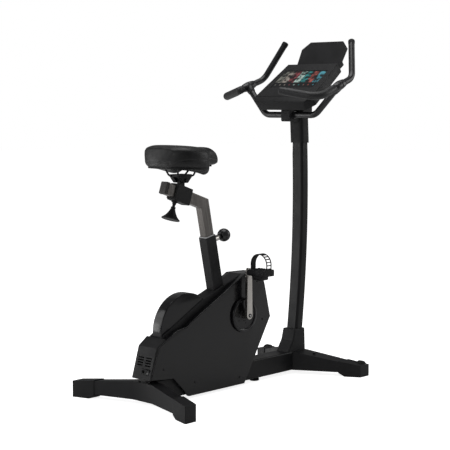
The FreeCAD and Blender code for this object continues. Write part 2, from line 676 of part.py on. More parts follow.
def display_screen():
    """Glass in the bezel's opening, with a flange that bears on the bezel's back."""
    glass = box(SCREEN_LOW + SEAM, SCREEN_HIGH - SEAM, -SCREEN_HALF_WIDTH + SEAM,
                SCREEN_HALF_WIDTH - SEAM, -BEZEL_THICKNESS, -SCREEN_SINK)
    half = SCREEN_HALF_WIDTH + SCREEN_FLANGE
    flange = box(SCREEN_LOW - SCREEN_FLANGE, SCREEN_HIGH + SCREEN_FLANGE, -half, half,
                 -BEZEL_THICKNESS - SCREEN_BACK, -BEZEL_THICKNESS)
    return on_console(glass.fuse(flange))


def jog_dial():
    cap = rod(DIAL_UP_SLOPE, 0, CLEAR, DIAL_RADIUS, DIAL_HEIGHT, Vector(0, 0, 1))
    cap = round_edges(cap, 2, lambda e: e.CenterOfMass.z > DIAL_HEIGHT / 2)
    shaft = rod(DIAL_UP_SLOPE, 0, -BEZEL_THICKNESS - 6, DIAL_SHAFT_RADIUS, BEZEL_THICKNESS + 8,
                Vector(0, 0, 1))
    dial = cap.fuse(shaft).removeSplitter()
    well = rod(DIAL_UP_SLOPE, 0, DIAL_HEIGHT - DIAL_WELL, DIAL_BUTTON_RADIUS + CLEAR, DIAL_HEIGHT,
               Vector(0, 0, 1))
    bore = rod(DIAL_UP_SLOPE, 0, 0, BUTTON_STEM + RUNNING_FIT, DIAL_HEIGHT, Vector(0, 0, 1))
    return on_console(dial.cut(well).cut(bore))


def jog_button():
    """Push button in the middle of the dial, standing clear of its floor by its travel."""
    floor = DIAL_HEIGHT - DIAL_WELL + DIAL_PRESS + CLEAR
    button = rod(DIAL_UP_SLOPE, 0, floor, DIAL_BUTTON_RADIUS, DIAL_WELL, Vector(0, 0, 1))
    stem = rod(DIAL_UP_SLOPE, 0, DIAL_PRESS + CLEAR, BUTTON_STEM, floor, Vector(0, 0, 1))
    return on_console(button.fuse(stem).removeSplitter())


def circuit_boards():
    """The display's board behind the screen and the brake controller in the housing."""
    behind = -BEZEL_THICKNESS - SCREEN_BACK
    display = on_console(box(SCREEN_LOW, SCREEN_HIGH, -90, 90, behind - 2, behind))
    controller = box(-100, -44, -28, -26, BEAM_TOP, BEAM_TOP + 75)
    return Part.makeCompound([display, controller])


def media_rack():
    """Leaning plate for a book or tablet, with a foot on the console's top end."""
    half = RACK_HALF_WIDTH
    outline = [(0, -half + 4), (RACK_HEIGHT - RACK_CHAMFER, -half), (RACK_HEIGHT, -half + RACK_CHAMFER),
               (RACK_HEIGHT, half - RACK_CHAMFER), (RACK_HEIGHT - RACK_CHAMFER, half), (0, half - 4)]
    plate = plan_prism(outline, -RACK_THICKNESS, 0)
    plate = turn_about_y(plate, RACK_LEAN - 90, RACK_X, RACK_Z)
    ledge = box(CONSOLE_LENGTH, CONSOLE_LENGTH + 2 * RACK_FOOT, -half + 4, half - 4,
                -CONSOLE_THICKNESS + 6, -BEZEL_THICKNESS - 2)
    cutter = plan_prism([(-200, -300), (400, -300), (400, 300), (-200, 300)], 0, 200)
    ledge = on_console(ledge).cut(turn_about_y(cutter, RACK_LEAN - 90, RACK_X, RACK_Z))
    return plate.fuse(ledge).removeSplitter()


# ---- housing -------------------------------------------------------------------------
def seat_tube_space(grow):
    half_depth = SEAT_TUBE_DEPTH / 2 + grow
    half_width = SEAT_TUBE_WIDTH / 2 + grow
    return along_seat_tube(box(-half_depth, half_depth, -half_width, half_width, -SEAT_TUBE_REACH, 0))


def side_cover():
    """Left cover: an outer wall with a rim that reaches the middle seam."""
    outer = side_prism(HOUSING_OUTLINE, SEAM, HOUSING_HALF)
    outer = round_edges(outer, SHELL, lambda e: e.CenterOfMass.y > HOUSING_HALF - 1)
    cover = outer.cut(side_prism(inset(HOUSING_OUTLINE, SHELL), SEAM, HOUSING_HALF - SHELL))
    cover = cover.cut(box(-HALF_LENGTH, HALF_LENGTH, 0, BEAM_WIDTH / 2, 0, BEAM_TOP + CLEAR))
    cover = cover.cut(box(-HALF_LENGTH, REAR_BAR_FRONT_X + 4, 0, HOUSING_HALF, 0, REAR_BAR_TOP + CLEAR))
    cover = cover.cut(side_prism(RIDGE_TOP + RIDGE_FOOT, 0, RIDGE_HALF))
    cover = cover.cut(side_prism(RIDGE_SLOT, 0, RIDGE_HALF - SHELL))
    cover = cover.cut(side_prism(TAIL_OUTLINE + [(-430, 90)], 0, HOUSING_HALF - SHELL))
    cover = cover.cut(seat_tube_space(CLEAR))
    return cover.cut(rod_y(0, CRANK_HEIGHT, CRANK_SHELL_RADIUS, HOUSING_HALF - 2 * SHELL, HOUSING_HALF))


def spine_cover():
    """The raised ridge between the side covers, slotted for the flywheel's guard."""
    outer = side_prism(RIDGE_TOP + RIDGE_FOOT, -RIDGE_HALF, RIDGE_HALF)
    outer = round_edges(outer, SHELL, lambda e: abs(e.CenterOfMass.y) > RIDGE_HALF - 1
                        and e.CenterOfMass.z > 260)
    lower = [(x, z - SHELL) for x, z in RIDGE_TOP] + [(x, z - 4 * SHELL) for x, z in RIDGE_FOOT]
    lower = [(-430.0, 225.0)] + lower
    cover = outer.cut(side_prism(lower, -RIDGE_HALF + SHELL, RIDGE_HALF - SHELL))
    cover = cover.cut(rod_y(FLYWHEEL_X, FLYWHEEL_Z, DRUM_RADIUS, -DRUM_HALF, DRUM_HALF))
    return cover.cut(seat_tube_space(CLEAR))


def drum_cover():
    """Guard over the upper part of the flywheel."""
    outer = rod_y(FLYWHEEL_X, FLYWHEEL_Z, DRUM_RADIUS, -DRUM_HALF, DRUM_HALF)
    outer = round_edges(outer, SHELL, lambda e: e.Length > 10)
    inner = rod_y(FLYWHEEL_X, FLYWHEEL_Z, DRUM_RADIUS - SHELL, -DRUM_HALF + SHELL, DRUM_HALF - SHELL)
    below = [(x, z - 2 * SHELL) for x, z in RIDGE_TOP]
    above = side_prism(below + [(9.0, 600.0), (-460.0, 600.0), (-460.0, 215.0)], -DRUM_HALF, DRUM_HALF)
    return outer.cut(inner).common(above)


def tail_cover():
    """Rear cover with two columns of vents and the power inlet's opening."""
    tail = side_prism(TAIL_OUTLINE, -HOUSING_HALF + SHELL, HOUSING_HALF - SHELL)
    tail = round_edges(tail, TAIL_ROUND, lambda e: abs(e.CenterOfMass.x - TAIL_OUTLINE[1][0]) < 1
                       and runs_along(e, Vector(0, 1, 0)))
    rear, front = -HALF_LENGTH, TAIL_OUTLINE[3][0]
    for row in range(VENT_ROWS):
        height = VENT_TOP_Z - row * VENT_PITCH
        for side in (-1, 1):
            middle = side * VENT_Y
            slot = box(rear, front, middle - VENT_LENGTH / 2, middle + VENT_LENGTH / 2,
                       height, height + VENT_HEIGHT)
            tail = tail.cut(slot)
    return tail.cut(box(rear, front, ROCKER_Y - INLET_HALF, INLET_Y + INLET_HALF,
                        INLET_Z - INLET_HALF, INLET_Z + INLET_HALF))


def power_inlet():
    """Round low-voltage inlet with its centre pin, beside the rocker's frame and pivot pin."""
    low, high = INLET_Z - INLET_HALF, INLET_Z + INLET_HALF
    back = INLET_X + 26
    block = box(INLET_X, back, ROCKER_Y - INLET_HALF, INLET_Y + INLET_HALF, low, high)
    block = block.cut(rod(INLET_X, INLET_Y, INLET_Z, 6, 18, Vector(1, 0, 0)))
    block = block.fuse(rod(INLET_X + 4, INLET_Y, INLET_Z, 1.2, 16, Vector(1, 0, 0)))
    well_half = ROCKER_HALF + CLEAR
    block = block.cut(box(INLET_X, back - 6, ROCKER_Y - well_half, ROCKER_Y + well_half, low, high))
    pin_half = ROCKER_HALF + 2
    return block.fuse(rod_y(ROCKER_X, INLET_Z, ROCKER_PIN, ROCKER_Y - pin_half, ROCKER_Y + pin_half))


def power_rocker():
    """Rocker switch that tips on its pin about a level axis across the bike."""
    rocker = side_prism([(INLET_X - 1, INLET_Z - 8), (INLET_X + 2, INLET_Z), (INLET_X - 1, INLET_Z + 8),
                         (ROCKER_X + 3, INLET_Z + 5), (ROCKER_X + 3, INLET_Z - 5)],
                        ROCKER_Y - ROCKER_HALF, ROCKER_Y + ROCKER_HALF)
    return rocker.cut(rod_y(ROCKER_X, INLET_Z, ROCKER_PIN + RUNNING_FIT, ROCKER_Y - ROCKER_HALF,
                            ROCKER_Y + ROCKER_HALF))


# ---- drive ------------------------------------------------------------------------------
def seat_tube():
    """Leaning tube from the beam, with the pop pin's collar welded to its front."""
    half_depth, half_width = SEAT_TUBE_DEPTH / 2, SEAT_TUBE_WIDTH / 2
    collar = rod(half_depth, 0, -PIN_AT, PIN_RADIUS + 5, PIN_COLLAR, Vector(1, 0, 0))
    outer = box(-half_depth, half_depth, -half_width, half_width, -SEAT_TUBE_REACH, 0).fuse(collar)
    inner = box(-POST_DEPTH / 2 - LINER, POST_DEPTH / 2 + LINER, -POST_WIDTH / 2 - LINER,
                POST_WIDTH / 2 + LINER, -SEAT_TUBE_REACH, 0)
    hole = rod(0, 0, -PIN_AT, PIN_RADIUS + RUNNING_FIT, half_depth + PIN_COLLAR, Vector(1, 0, 0))
    tube = along_seat_tube(outer.cut(inner).cut(hole))
    return tube.cut(box(-HALF_LENGTH, HALF_LENGTH, -half_width, half_width, -HALF_LENGTH, BEAM_TOP))


def seat_tube_bush():
    """Plastic liner in the tube's mouth with a thin flange, in which the post slides."""
    inner = box(-POST_DEPTH / 2 - POST_GAP, POST_DEPTH / 2 + POST_GAP, -POST_WIDTH / 2 - POST_GAP,
                POST_WIDTH / 2 + POST_GAP, -70, 10)
    outer = box(-POST_DEPTH / 2 - LINER, POST_DEPTH / 2 + LINER, -POST_WIDTH / 2 - LINER,
                POST_WIDTH / 2 + LINER, -60, 0)
    flange = box(-SEAT_TUBE_DEPTH / 2 + 1, SEAT_TUBE_DEPTH / 2 - 1, -SEAT_TUBE_WIDTH / 2 + 1,
                 SEAT_TUBE_WIDTH / 2 - 1, 0, 4)
    bush = outer.fuse(flange).cut(inner)
    return along_seat_tube(bush.cut(rod(0, 0, -PIN_AT, PIN_RADIUS + RUNNING_FIT, 60, Vector(1, 0, 0))))


def crank_shell():
    """Bearing shell of the crank and the plates that tie it to the seat tube and the beam."""
    shell = rod_y(0, CRANK_HEIGHT, CRANK_SHELL_RADIUS, -CRANK_SHELL_HALF, CRANK_SHELL_HALF)
    web = side_prism([(-70, CRANK_HEIGHT + 18), (0, CRANK_HEIGHT + 14), (20, CRANK_HEIGHT - 12),
                      (34, BEAM_TOP), (-36, BEAM_TOP)], -CRANK_SHELL_HALF + 4, CRANK_SHELL_HALF - 4)
    shell = shell.fuse(web).cut(seat_tube_space(0))
    solid = shell.cut(rod_y(0, CRANK_HEIGHT, BEARING_RADIUS, -CRANK_SHELL_HALF, CRANK_SHELL_HALF))
    return solid.removeSplitter()


def bearing(x, z, shaft_radius, outer_radius, y0):
    ring = rod_y(x, z, outer_radius, y0, y0 + BEARING_WIDTH)
    return ring.cut(rod_y(x, z, shaft_radius + RUNNING_FIT, y0, y0 + BEARING_WIDTH))


def bearings():
    """Two crank bearings in the shell and two flywheel bearings in the fork plates."""
    crank = both_sides(bearing(0, CRANK_HEIGHT, CRANK_SHAFT_RADIUS, BEARING_RADIUS,
                               CRANK_SHELL_HALF - BEARING_WIDTH))
    wheel = rod_y(FLYWHEEL_X, FLYWHEEL_Z, FORK_BEARING, FORK_INNER, FORK_INNER + FORK_PLATE)
    wheel = wheel.cut(rod_y(FLYWHEEL_X, FLYWHEEL_Z, FLYWHEEL_SHAFT_RADIUS + RUNNING_FIT,
                            FORK_INNER, FORK_INNER + FORK_PLATE))
    return Part.makeCompound(crank.Solids + both_sides(wheel).Solids)


def drive_brackets():
    """Plates on the beam: two for the flywheel's bearings and one for the idler."""
    outline = [(FLYWHEEL_X - 40, BEAM_TOP), (FLYWHEEL_X + 18, BEAM_TOP), (FLYWHEEL_X + 22, FLYWHEEL_Z + 4),
               (FLYWHEEL_X + 10, FLYWHEEL_Z + 22), (FLYWHEEL_X - 10, FLYWHEEL_Z + 22),
               (FLYWHEEL_X - 22, FLYWHEEL_Z + 4)]
    plate = side_prism(outline, FORK_INNER, FORK_INNER + FORK_PLATE)
    plate = plate.cut(rod_y(FLYWHEEL_X, FLYWHEEL_Z, FORK_BEARING, FORK_INNER, FORK_INNER + FORK_PLATE))
    return Part.makeCompound(both_sides(plate).Solids + [idler_bracket()])


def flywheel():
    disc = rod_y(FLYWHEEL_X, FLYWHEEL_Z, FLYWHEEL_RADIUS, -FLYWHEEL_HALF, FLYWHEEL_HALF)
    recess = rod_y(FLYWHEEL_X, FLYWHEEL_Z, FLYWHEEL_RADIUS - FLYWHEEL_RIM, FLYWHEEL_HALF / 2, FLYWHEEL_HALF)
    disc = disc.cut(recess).cut(other_side(recess))
    hub = rod_y(FLYWHEEL_X, FLYWHEEL_Z, FLYWHEEL_HUB, -FLYWHEEL_HALF, FLYWHEEL_HALF)
    disc = disc.fuse(hub)
    return disc.cut(rod_y(FLYWHEEL_X, FLYWHEEL_Z, FLYWHEEL_SHAFT_RADIUS, -FLYWHEEL_HALF, FLYWHEEL_HALF))


def flywheel_shaft():
    return rod_y(FLYWHEEL_X, FLYWHEEL_Z, FLYWHEEL_SHAFT_RADIUS, -FORK_INNER - FORK_PLATE - 4,
                 FLYWHEEL_PULLEY_END + 2)


def pulley(x, z, radius, bore):
    """Belt pulley's rim and web between the two sides of the belt."""
    wheel = rod_y(x, z, radius, BELT_Y, FLYWHEEL_PULLEY_END)
    return wheel.cut(rod_y(x, z, bore, BELT_Y, FLYWHEEL_PULLEY_END))


def flywheel_pulley():
    return pulley(FLYWHEEL_X, FLYWHEEL_Z, FLYWHEEL_PULLEY_RADIUS, FLYWHEEL_SHAFT_RADIUS)


def drive_pulley():
    wheel = pulley(0, CRANK_HEIGHT, DRIVE_PULLEY_RADIUS, CRANK_SHAFT_RADIUS)
    for step in range(PULLEY_HOLES):
        angle = 2 * math.pi * step / PULLEY_HOLES
        x, z = PULLEY_HOLE_AT * math.cos(angle), CRANK_HEIGHT + PULLEY_HOLE_AT * math.sin(angle)
        wheel = wheel.cut(rod_y(x, z, PULLEY_HOLE_RADIUS, BELT_Y, FLYWHEEL_PULLEY_END))
    return wheel


def drive_belt():
    inner = (BELT_GAP, BELT_GAP)
    outer = (BELT_GAP + BELT_THICKNESS, BELT_GAP + BELT_THICKNESS)
    loops = []
    for grow_drive, grow_wheel in (outer, inner):
        loops.append(band(0, CRANK_HEIGHT, DRIVE_PULLEY_RADIUS + grow_drive, FLYWHEEL_X, FLYWHEEL_Z,
                          FLYWHEEL_PULLEY_RADIUS + grow_wheel, BELT_Y + 1, FLYWHEEL_PULLEY_END - 1))
    return loops[0].cut(loops[1])


def idler_place():
    """Centre of the idler, just clear of the belt's lower run."""
    reach = BELT_GAP + BELT_THICKNESS
    r1, r2 = DRIVE_PULLEY_RADIUS + reach, FLYWHEEL_PULLEY_RADIUS + reach
    span = math.hypot(FLYWHEEL_X, FLYWHEEL_Z - CRANK_HEIGHT)
    heading = math.atan2(FLYWHEEL_Z - CRANK_HEIGHT, FLYWHEEL_X)
    normal = heading + math.acos((r1 - r2) / span)
    nx, nz = math.cos(normal), math.sin(normal)
    gap = r1 + BELT_GAP + IDLER_RADIUS
    along = (IDLER_X - gap * nx) / -nz
    return IDLER_X, CRANK_HEIGHT + gap * nz + along * nx


def idler_pulley():
    x, z = idler_place()
    return pulley(x, z, IDLER_RADIUS, IDLER_PIN_RADIUS + IDLER_FIT)


def idler_bracket():
    """Slotted plate on the beam with the idler's pin; it is set and bolted tight."""
    x, z = idler_place()
    plate = side_prism([(x - 14, BEAM_TOP), (x + 14, BEAM_TOP), (x + 9, z + 9), (x - 9, z + 9)],
                       BELT_Y - 6, BELT_Y - 2)
    pin = rod_y(x, z, IDLER_PIN_RADIUS, BELT_Y - 6, FLYWHEEL_PULLEY_END + 3)
    return plate.fuse(pin)


def brake_bracket():
    """Magnet carrier round the flywheel's lower front rim; it swings away to ease the load."""
    arc_in = FLYWHEEL_RADIUS + BRAKE_GAP
    arc_out = arc_in + BRAKE_SHOE
    ring = rod_y(FLYWHEEL_X, FLYWHEEL_Z, arc_out, -BRAKE_HALF, BRAKE_HALF)
    ring = ring.cut(rod_y(FLYWHEEL_X, FLYWHEEL_Z, arc_in, -BRAKE_HALF, BRAKE_HALF))
    reach = 2 * arc_out
    sector = [(FLYWHEEL_X, FLYWHEEL_Z)]
    for degrees in (-30, -75):
        angle = math.radians(degrees)
        sector.append((FLYWHEEL_X + reach * math.cos(angle), FLYWHEEL_Z + reach * math.sin(angle)))
    shoe = ring.common(side_prism(sector, -BRAKE_HALF, BRAKE_HALF))
    arm = box(BRAKE_X - 6, BRAKE_X + 8, -BRAKE_HALF, BRAKE_HALF, BRAKE_Z, FLYWHEEL_Z - FLYWHEEL_RADIUS)
    arm = arm.cut(rod_y(FLYWHEEL_X, FLYWHEEL_Z, arc_in, -BRAKE_HALF, BRAKE_HALF))
    hub = rod_y(BRAKE_X, BRAKE_Z, 8, -BRAKE_HALF, BRAKE_HALF)
    solid = shoe.fuse(arm).fuse(hub)
    bore = rod_y(BRAKE_X, BRAKE_Z, BRAKE_PIN + RUNNING_FIT, -BRAKE_HALF, BRAKE_HALF)
    return solid.cut(bore).removeSplitter()


def brake_motor():
    """Brake base on the beam: two ears with the carrier's pin, and the box of the setting motor."""
    ear_in, ear_out = BRAKE_HALF + 1, BRAKE_HALF + 5
    left_ear = box(BRAKE_X - 9, BRAKE_X + 9, ear_in, ear_out, BEAM_TOP, BRAKE_Z + 9)
    pin = rod_y(BRAKE_X, BRAKE_Z, BRAKE_PIN, -ear_out, ear_out)
    case_x = BRAKE_X + 64
    rail = box(BRAKE_X - 9, case_x, -ear_out, -ear_in, BEAM_TOP, BEAM_TOP + 8)
    case = box(case_x, case_x + 46, -ear_out, ear_in, BEAM_TOP, BEAM_TOP + 34)
    base = left_ear.fuse(other_side(left_ear)).fuse(pin).fuse(rail).fuse(case)
    return base.removeSplitter()


# ---- cranks and pedals --------------------------------------------------------------------
def crank_axle():
    """Crank axle and the two bolts in its ends."""
    end = ARM_IN + ARM_THICKNESS - 3
    return Part.makeCompound([rod_y(0, CRANK_HEIGHT, CRANK_SHAFT_RADIUS, -end, end)] + crank_bolts().Solids)


def crank_arm():
    """Left arm, pointing down: a tapered bar with round ends."""
    loop = band(0, CRANK_HEIGHT, ARM_WIDTH_HUB / 2, 0, CRANK_HEIGHT - CRANK_LENGTH, ARM_WIDTH_TIP / 2,
                ARM_IN, ARM_IN + ARM_THICKNESS)
    loop = round_edges(loop, 2.5, lambda e: e.CenterOfMass.y > ARM_IN + ARM_THICKNESS - 1)
    boss = rod_y(0, CRANK_HEIGHT, ARM_WIDTH_HUB / 2, DISC_IN + DISC_THICKNESS, ARM_IN + 1)
    arm = loop.fuse(boss)
    arm = arm.cut(rod_y(0, CRANK_HEIGHT, CRANK_SHAFT_RADIUS, 0, ARM_IN + ARM_THICKNESS - 3))
    arm = arm.cut(rod_y(0, CRANK_HEIGHT, CRANK_BOLT, ARM_IN, ARM_IN + ARM_THICKNESS))
    return arm.cut(rod_y(0, CRANK_HEIGHT - CRANK_LENGTH, SPINDLE_RADIUS, ARM_IN, ARM_IN + ARM_THICKNESS))


def point_up(shape):
    """Turns a piece of the left crank over to the right side's upward crank."""
    return turned_half(other_side(shape))


def turned_half(shape):
    copy = shape.copy()
    copy.rotate(Vector(0, 0, CRANK_HEIGHT), Vector(0, 1, 0), 180)
    return copy


def crank_arms():
    arm = crank_arm()
    return Part.makeCompound([arm, point_up(arm)])


def crank_bolts():
    bolt = rod_y(0, CRANK_HEIGHT, CRANK_BOLT, ARM_IN + ARM_THICKNESS - 3, ARM_IN + ARM_THICKNESS + 1)
    return both_sides(bolt)


def crank_discs():
    """Round cover discs between the housing and the arms; they turn with the crank."""
    disc = rod_y(0, CRANK_HEIGHT, DISC_RADIUS, DISC_IN, DISC_IN + DISC_THICKNESS)
    disc = round_edges(disc, 2.5, lambda e: e.CenterOfMass.y > DISC_IN + 1 and e.Length > 50)
    dish = Part.makeCone(DISC_RADIUS - 9, 24, 4, Vector(0, DISC_IN + DISC_THICKNESS, CRANK_HEIGHT),
                         Vector(0, -1, 0))
    disc = disc.cut(dish).fuse(rod_y(0, CRANK_HEIGHT, 20, DISC_IN - 3, DISC_IN + DISC_THICKNESS))
    return both_sides(disc.cut(rod_y(0, CRANK_HEIGHT, CRANK_SHAFT_RADIUS, DISC_IN - 3,
                                     DISC_IN + DISC_THICKNESS)).removeSplitter())


def pedal_spindles():
    low = CRANK_HEIGHT - CRANK_LENGTH
    pin = rod_y(0, low, SPINDLE_RADIUS, ARM_IN, PEDAL_IN + PEDAL_WIDTH - 6)
    collar = rod_y(0, low, SPINDLE_RADIUS + 3, ARM_IN + ARM_THICKNESS, ARM_IN + ARM_THICKNESS + 3)
    pin = pin.fuse(collar)
    return Part.makeCompound([pin, point_up(pin)])


def pedal(x, z, side):
    """Pedal body round its spindle: platform, barrel and the weight under it."""
    y0 = PEDAL_IN
    half = PEDAL_LENGTH / 2
    platform = box(x - half, x + half, y0, y0 + PEDAL_WIDTH, z - PEDAL_HEIGHT / 2, z + PEDAL_HEIGHT / 2)
    platform = round_edges(platform, 6, lambda e: runs_along(e, Vector(0, 1, 0)))
    weight = box(x - half + 8, x + half - 8, y0 + 18, y0 + PEDAL_WIDTH - 18, z - PEDAL_HEIGHT / 2 - 16,
                 z - PEDAL_HEIGHT / 2 + 8)
    weight = round_edges(weight, 5, lambda e: e.CenterOfMass.z < z - PEDAL_HEIGHT / 2)
    body = platform.fuse(weight)
    body = body.cut(rod_y(x, z, SPINDLE_RADIUS + RUNNING_FIT, y0, y0 + PEDAL_WIDTH - 5))
    shape = body.removeSplitter()
    return shape if side > 0 else other_side(shape)


def pedal_strap(x, z, side):
    """Foot strap: it springs from the platform's inner end, arches over and ends on the outer end."""
    y_in = PEDAL_IN + STRAP_INSET
    y_out = PEDAL_IN + PEDAL_WIDTH
    middle, half = (y_in + y_out) / 2, (y_out - y_in) / 2
    top = z + PEDAL_HEIGHT / 2
    spring = top + STRAP_RISE - half
    x0, x1 = x - STRAP_WIDTH / 2, x + STRAP_WIDTH / 2
    arch = rod(x0, middle, spring, half + STRAP_THICKNESS, STRAP_WIDTH, Vector(1, 0, 0))
    arch = arch.cut(rod(x0, middle, spring, half, STRAP_WIDTH, Vector(1, 0, 0)))
    arch = arch.cut(box(x0, x1, y_in - half, y_out + half, spring - 2 * half, spring))
    inner_leg = box(x0, x1, y_in - STRAP_THICKNESS, y_in, top, spring)
    outer_leg = box(x0, x1, y_out, y_out + STRAP_THICKNESS, z - PEDAL_HEIGHT / 4, spring)
    strap = arch.fuse(inner_leg).fuse(outer_leg).removeSplitter()
    return strap if side > 0 else other_side(strap)


# ---- seat ------------------------------------------------------------------------------------
def post_outline(grow):
    """Side view of the bent post, drawn upright at the seat tube's top, as (x, z)."""
    half = POST_DEPTH / 2 + grow
    bend = math.radians(90 - SEAT_LEAN - ARM_RISE)
    mitre = half * math.tan(bend / 2)
    tip_x, tip_z = -math.sin(bend), math.cos(bend)
    up_x, up_z = math.cos(bend), math.sin(bend)
    outer = (half, POST_RISE + mitre)
    inner = (-half, POST_RISE - mitre)
    end_top = (SEAT_ARM_LENGTH * tip_x + half * up_x, POST_RISE + SEAT_ARM_LENGTH * tip_z + half * up_z)
    end_low = (SEAT_ARM_LENGTH * tip_x - half * up_x, POST_RISE + SEAT_ARM_LENGTH * tip_z - half * up_z)
    return [(half, -POST_INSERT), outer, end_top, end_low, inner, (-half, -POST_INSERT)]


def seat_post():
    half = POST_WIDTH / 2
    outer = side_prism(post_outline(0), -half, half)
    outer = round_edges(outer, 3, lambda e: abs(e.CenterOfMass.y) > half - 0.5 and e.Length > 80)
    inner = side_prism(post_outline(-TUBE_WALL), -half + TUBE_WALL, half - TUBE_WALL)
    shape = outer.cut(inner)
    for step in range(-POST_HOLES_DOWN, POST_HOLES_UP + 1):
        shape = shape.cut(rod(POST_DEPTH / 2 - TUBE_WALL, 0, step * POST_HOLE_PITCH - PIN_AT, PIN_HOLE,
                              TUBE_WALL, Vector(1, 0, 0)))
    in_half, in_depth = half - TUBE_WALL, POST_DEPTH / 2 - TUBE_WALL
    mouth = box(-SEAT_ARM_LENGTH - TUBE_WALL, -SEAT_ARM_LENGTH + 2 * TUBE_WALL, -in_half, in_half,
                -in_depth, in_depth)
    return along_seat_tube(shape).cut(along_arm(mouth))


def post_end_cap():
    """Plastic plug that closes the arm's rear end."""
    half = POST_WIDTH / 2
    depth = POST_DEPTH / 2
    head = box(-SEAT_ARM_LENGTH - CAP_HEAD, -SEAT_ARM_LENGTH, -half - 1, half + 1, -depth - 1, depth + 1)
    head = round_edges(head, 3, lambda e: e.CenterOfMass.x < -SEAT_ARM_LENGTH - CAP_HEAD + 0.5)
    plug = box(-SEAT_ARM_LENGTH, -SEAT_ARM_LENGTH + 4, -half + TUBE_WALL, half - TUBE_WALL,
               -depth + TUBE_WALL, depth - TUBE_WALL)
    return along_arm(head.fuse(plug))


def saddle_carriage():
    """Sleeve that slides on the arm, with the stem the saddle clamps to and the lock boss."""
    half_out = POST_WIDTH / 2 + POST_GAP + CARRIAGE_SIDE
    half_in = POST_WIDTH / 2 + POST_GAP
    depth_in = POST_DEPTH / 2 + POST_GAP
    depth_out = depth_in + CARRIAGE_WALL
    x0, x1 = -CARRIAGE_AT - CARRIAGE_LENGTH / 2, -CARRIAGE_AT + CARRIAGE_LENGTH / 2
    sleeve = box(x0, x1, -half_out, half_out, -depth_out, depth_out)
    sleeve = round_edges(sleeve, 3, lambda e: runs_along(e, Vector(1, 0, 0)))
    boss = rod(LOCK_AT, 0, -depth_out - 5, 12, 8, Vector(0, 0, 1))
    sleeve = sleeve.fuse(boss).cut(box(x0, x1, -half_in, half_in, -depth_in, depth_in))
    bore = rod(LOCK_AT, 0, -depth_out - 5, LOCK_STUD_RADIUS + RUNNING_FIT, 16, Vector(0, 0, 1))
    sleeve = sleeve.cut(bore)
    sleeve = along_arm(sleeve)
    stem = side_prism([(TILT_X - 12, TILT_Z - 34), (TILT_X + 12, TILT_Z - 34), (TILT_X + 10, TILT_Z + 4),
                       (TILT_X - 10, TILT_Z + 4)], -STEM_HALF, STEM_HALF)
    knuckle = rod_y(TILT_X, TILT_Z, 11, -STEM_HALF, STEM_HALF)
    arm_space = along_arm(box(-SEAT_ARM_LENGTH, 0, -half_in, half_in, -depth_in, depth_in))
    stem = stem.fuse(knuckle).cut(arm_space)
    return sleeve.fuse(stem).cut(rod_y(TILT_X, TILT_Z, TILT_BOLT, -STEM_HALF, STEM_HALF)).removeSplitter()


def tilt_bolt():
    """Cross bolt through the stem, on which the saddle clamp tips."""
    shank = rod_y(TILT_X, TILT_Z, TILT_BOLT, -JAW_HALF - 5, JAW_HALF + 5)
    head = rod_y(TILT_X, TILT_Z, 7, JAW_HALF + CLEAR, JAW_HALF + 6)
    return shank.fuse(head).fuse(other_side(head))


def saddle_clamp():
    """Rail clamp head with a slot over the stem; it holds both rails and tips on the bolt."""
    slot_half = STEM_HALF + CLEAR
    outline = [(TILT_X - 12, TILT_Z - 9), (TILT_X + 10, TILT_Z - 9), (TILT_X + 30, RAIL_Z - 4),
               (TILT_X + 30, RAIL_Z + 6), (TILT_X - 30, RAIL_Z + 6), (TILT_X - 30, RAIL_Z - 4)]
    head = side_prism(outline, -JAW_HALF, JAW_HALF)
    slot = box(TILT_X - 40, TILT_X + 40, -slot_half, slot_half, TILT_Z - 40, TILT_Z + 12 + CLEAR)
    head = head.cut(slot)
    for side in (-1, 1):
        head = head.cut(rod(TILT_X - 40, side * RAIL_Y, RAIL_Z, RAIL_RADIUS, 80, Vector(1, 0, 0)))
    return head.cut(rod_y(TILT_X, TILT_Z, TILT_BOLT + RUNNING_FIT, -JAW_HALF, JAW_HALF))


def saddle_rails():
    """Two bent wire rails from the saddle's base, straight where the clamp holds them."""
    rear = Vector(TILT_X - 48, RAIL_Y + 14, SADDLE_BOTTOM + 4)
    front = Vector(TILT_X + 70, RAIL_Y - 6, SADDLE_BOTTOM + 4)
    points = [rear, Vector(TILT_X - 38, RAIL_Y, RAIL_Z), Vector(TILT_X + 42, RAIL_Y, RAIL_Z), front]
    rail = swept_tube(points, RAIL_RADIUS, [12, 14])
    return both_sides(rail)


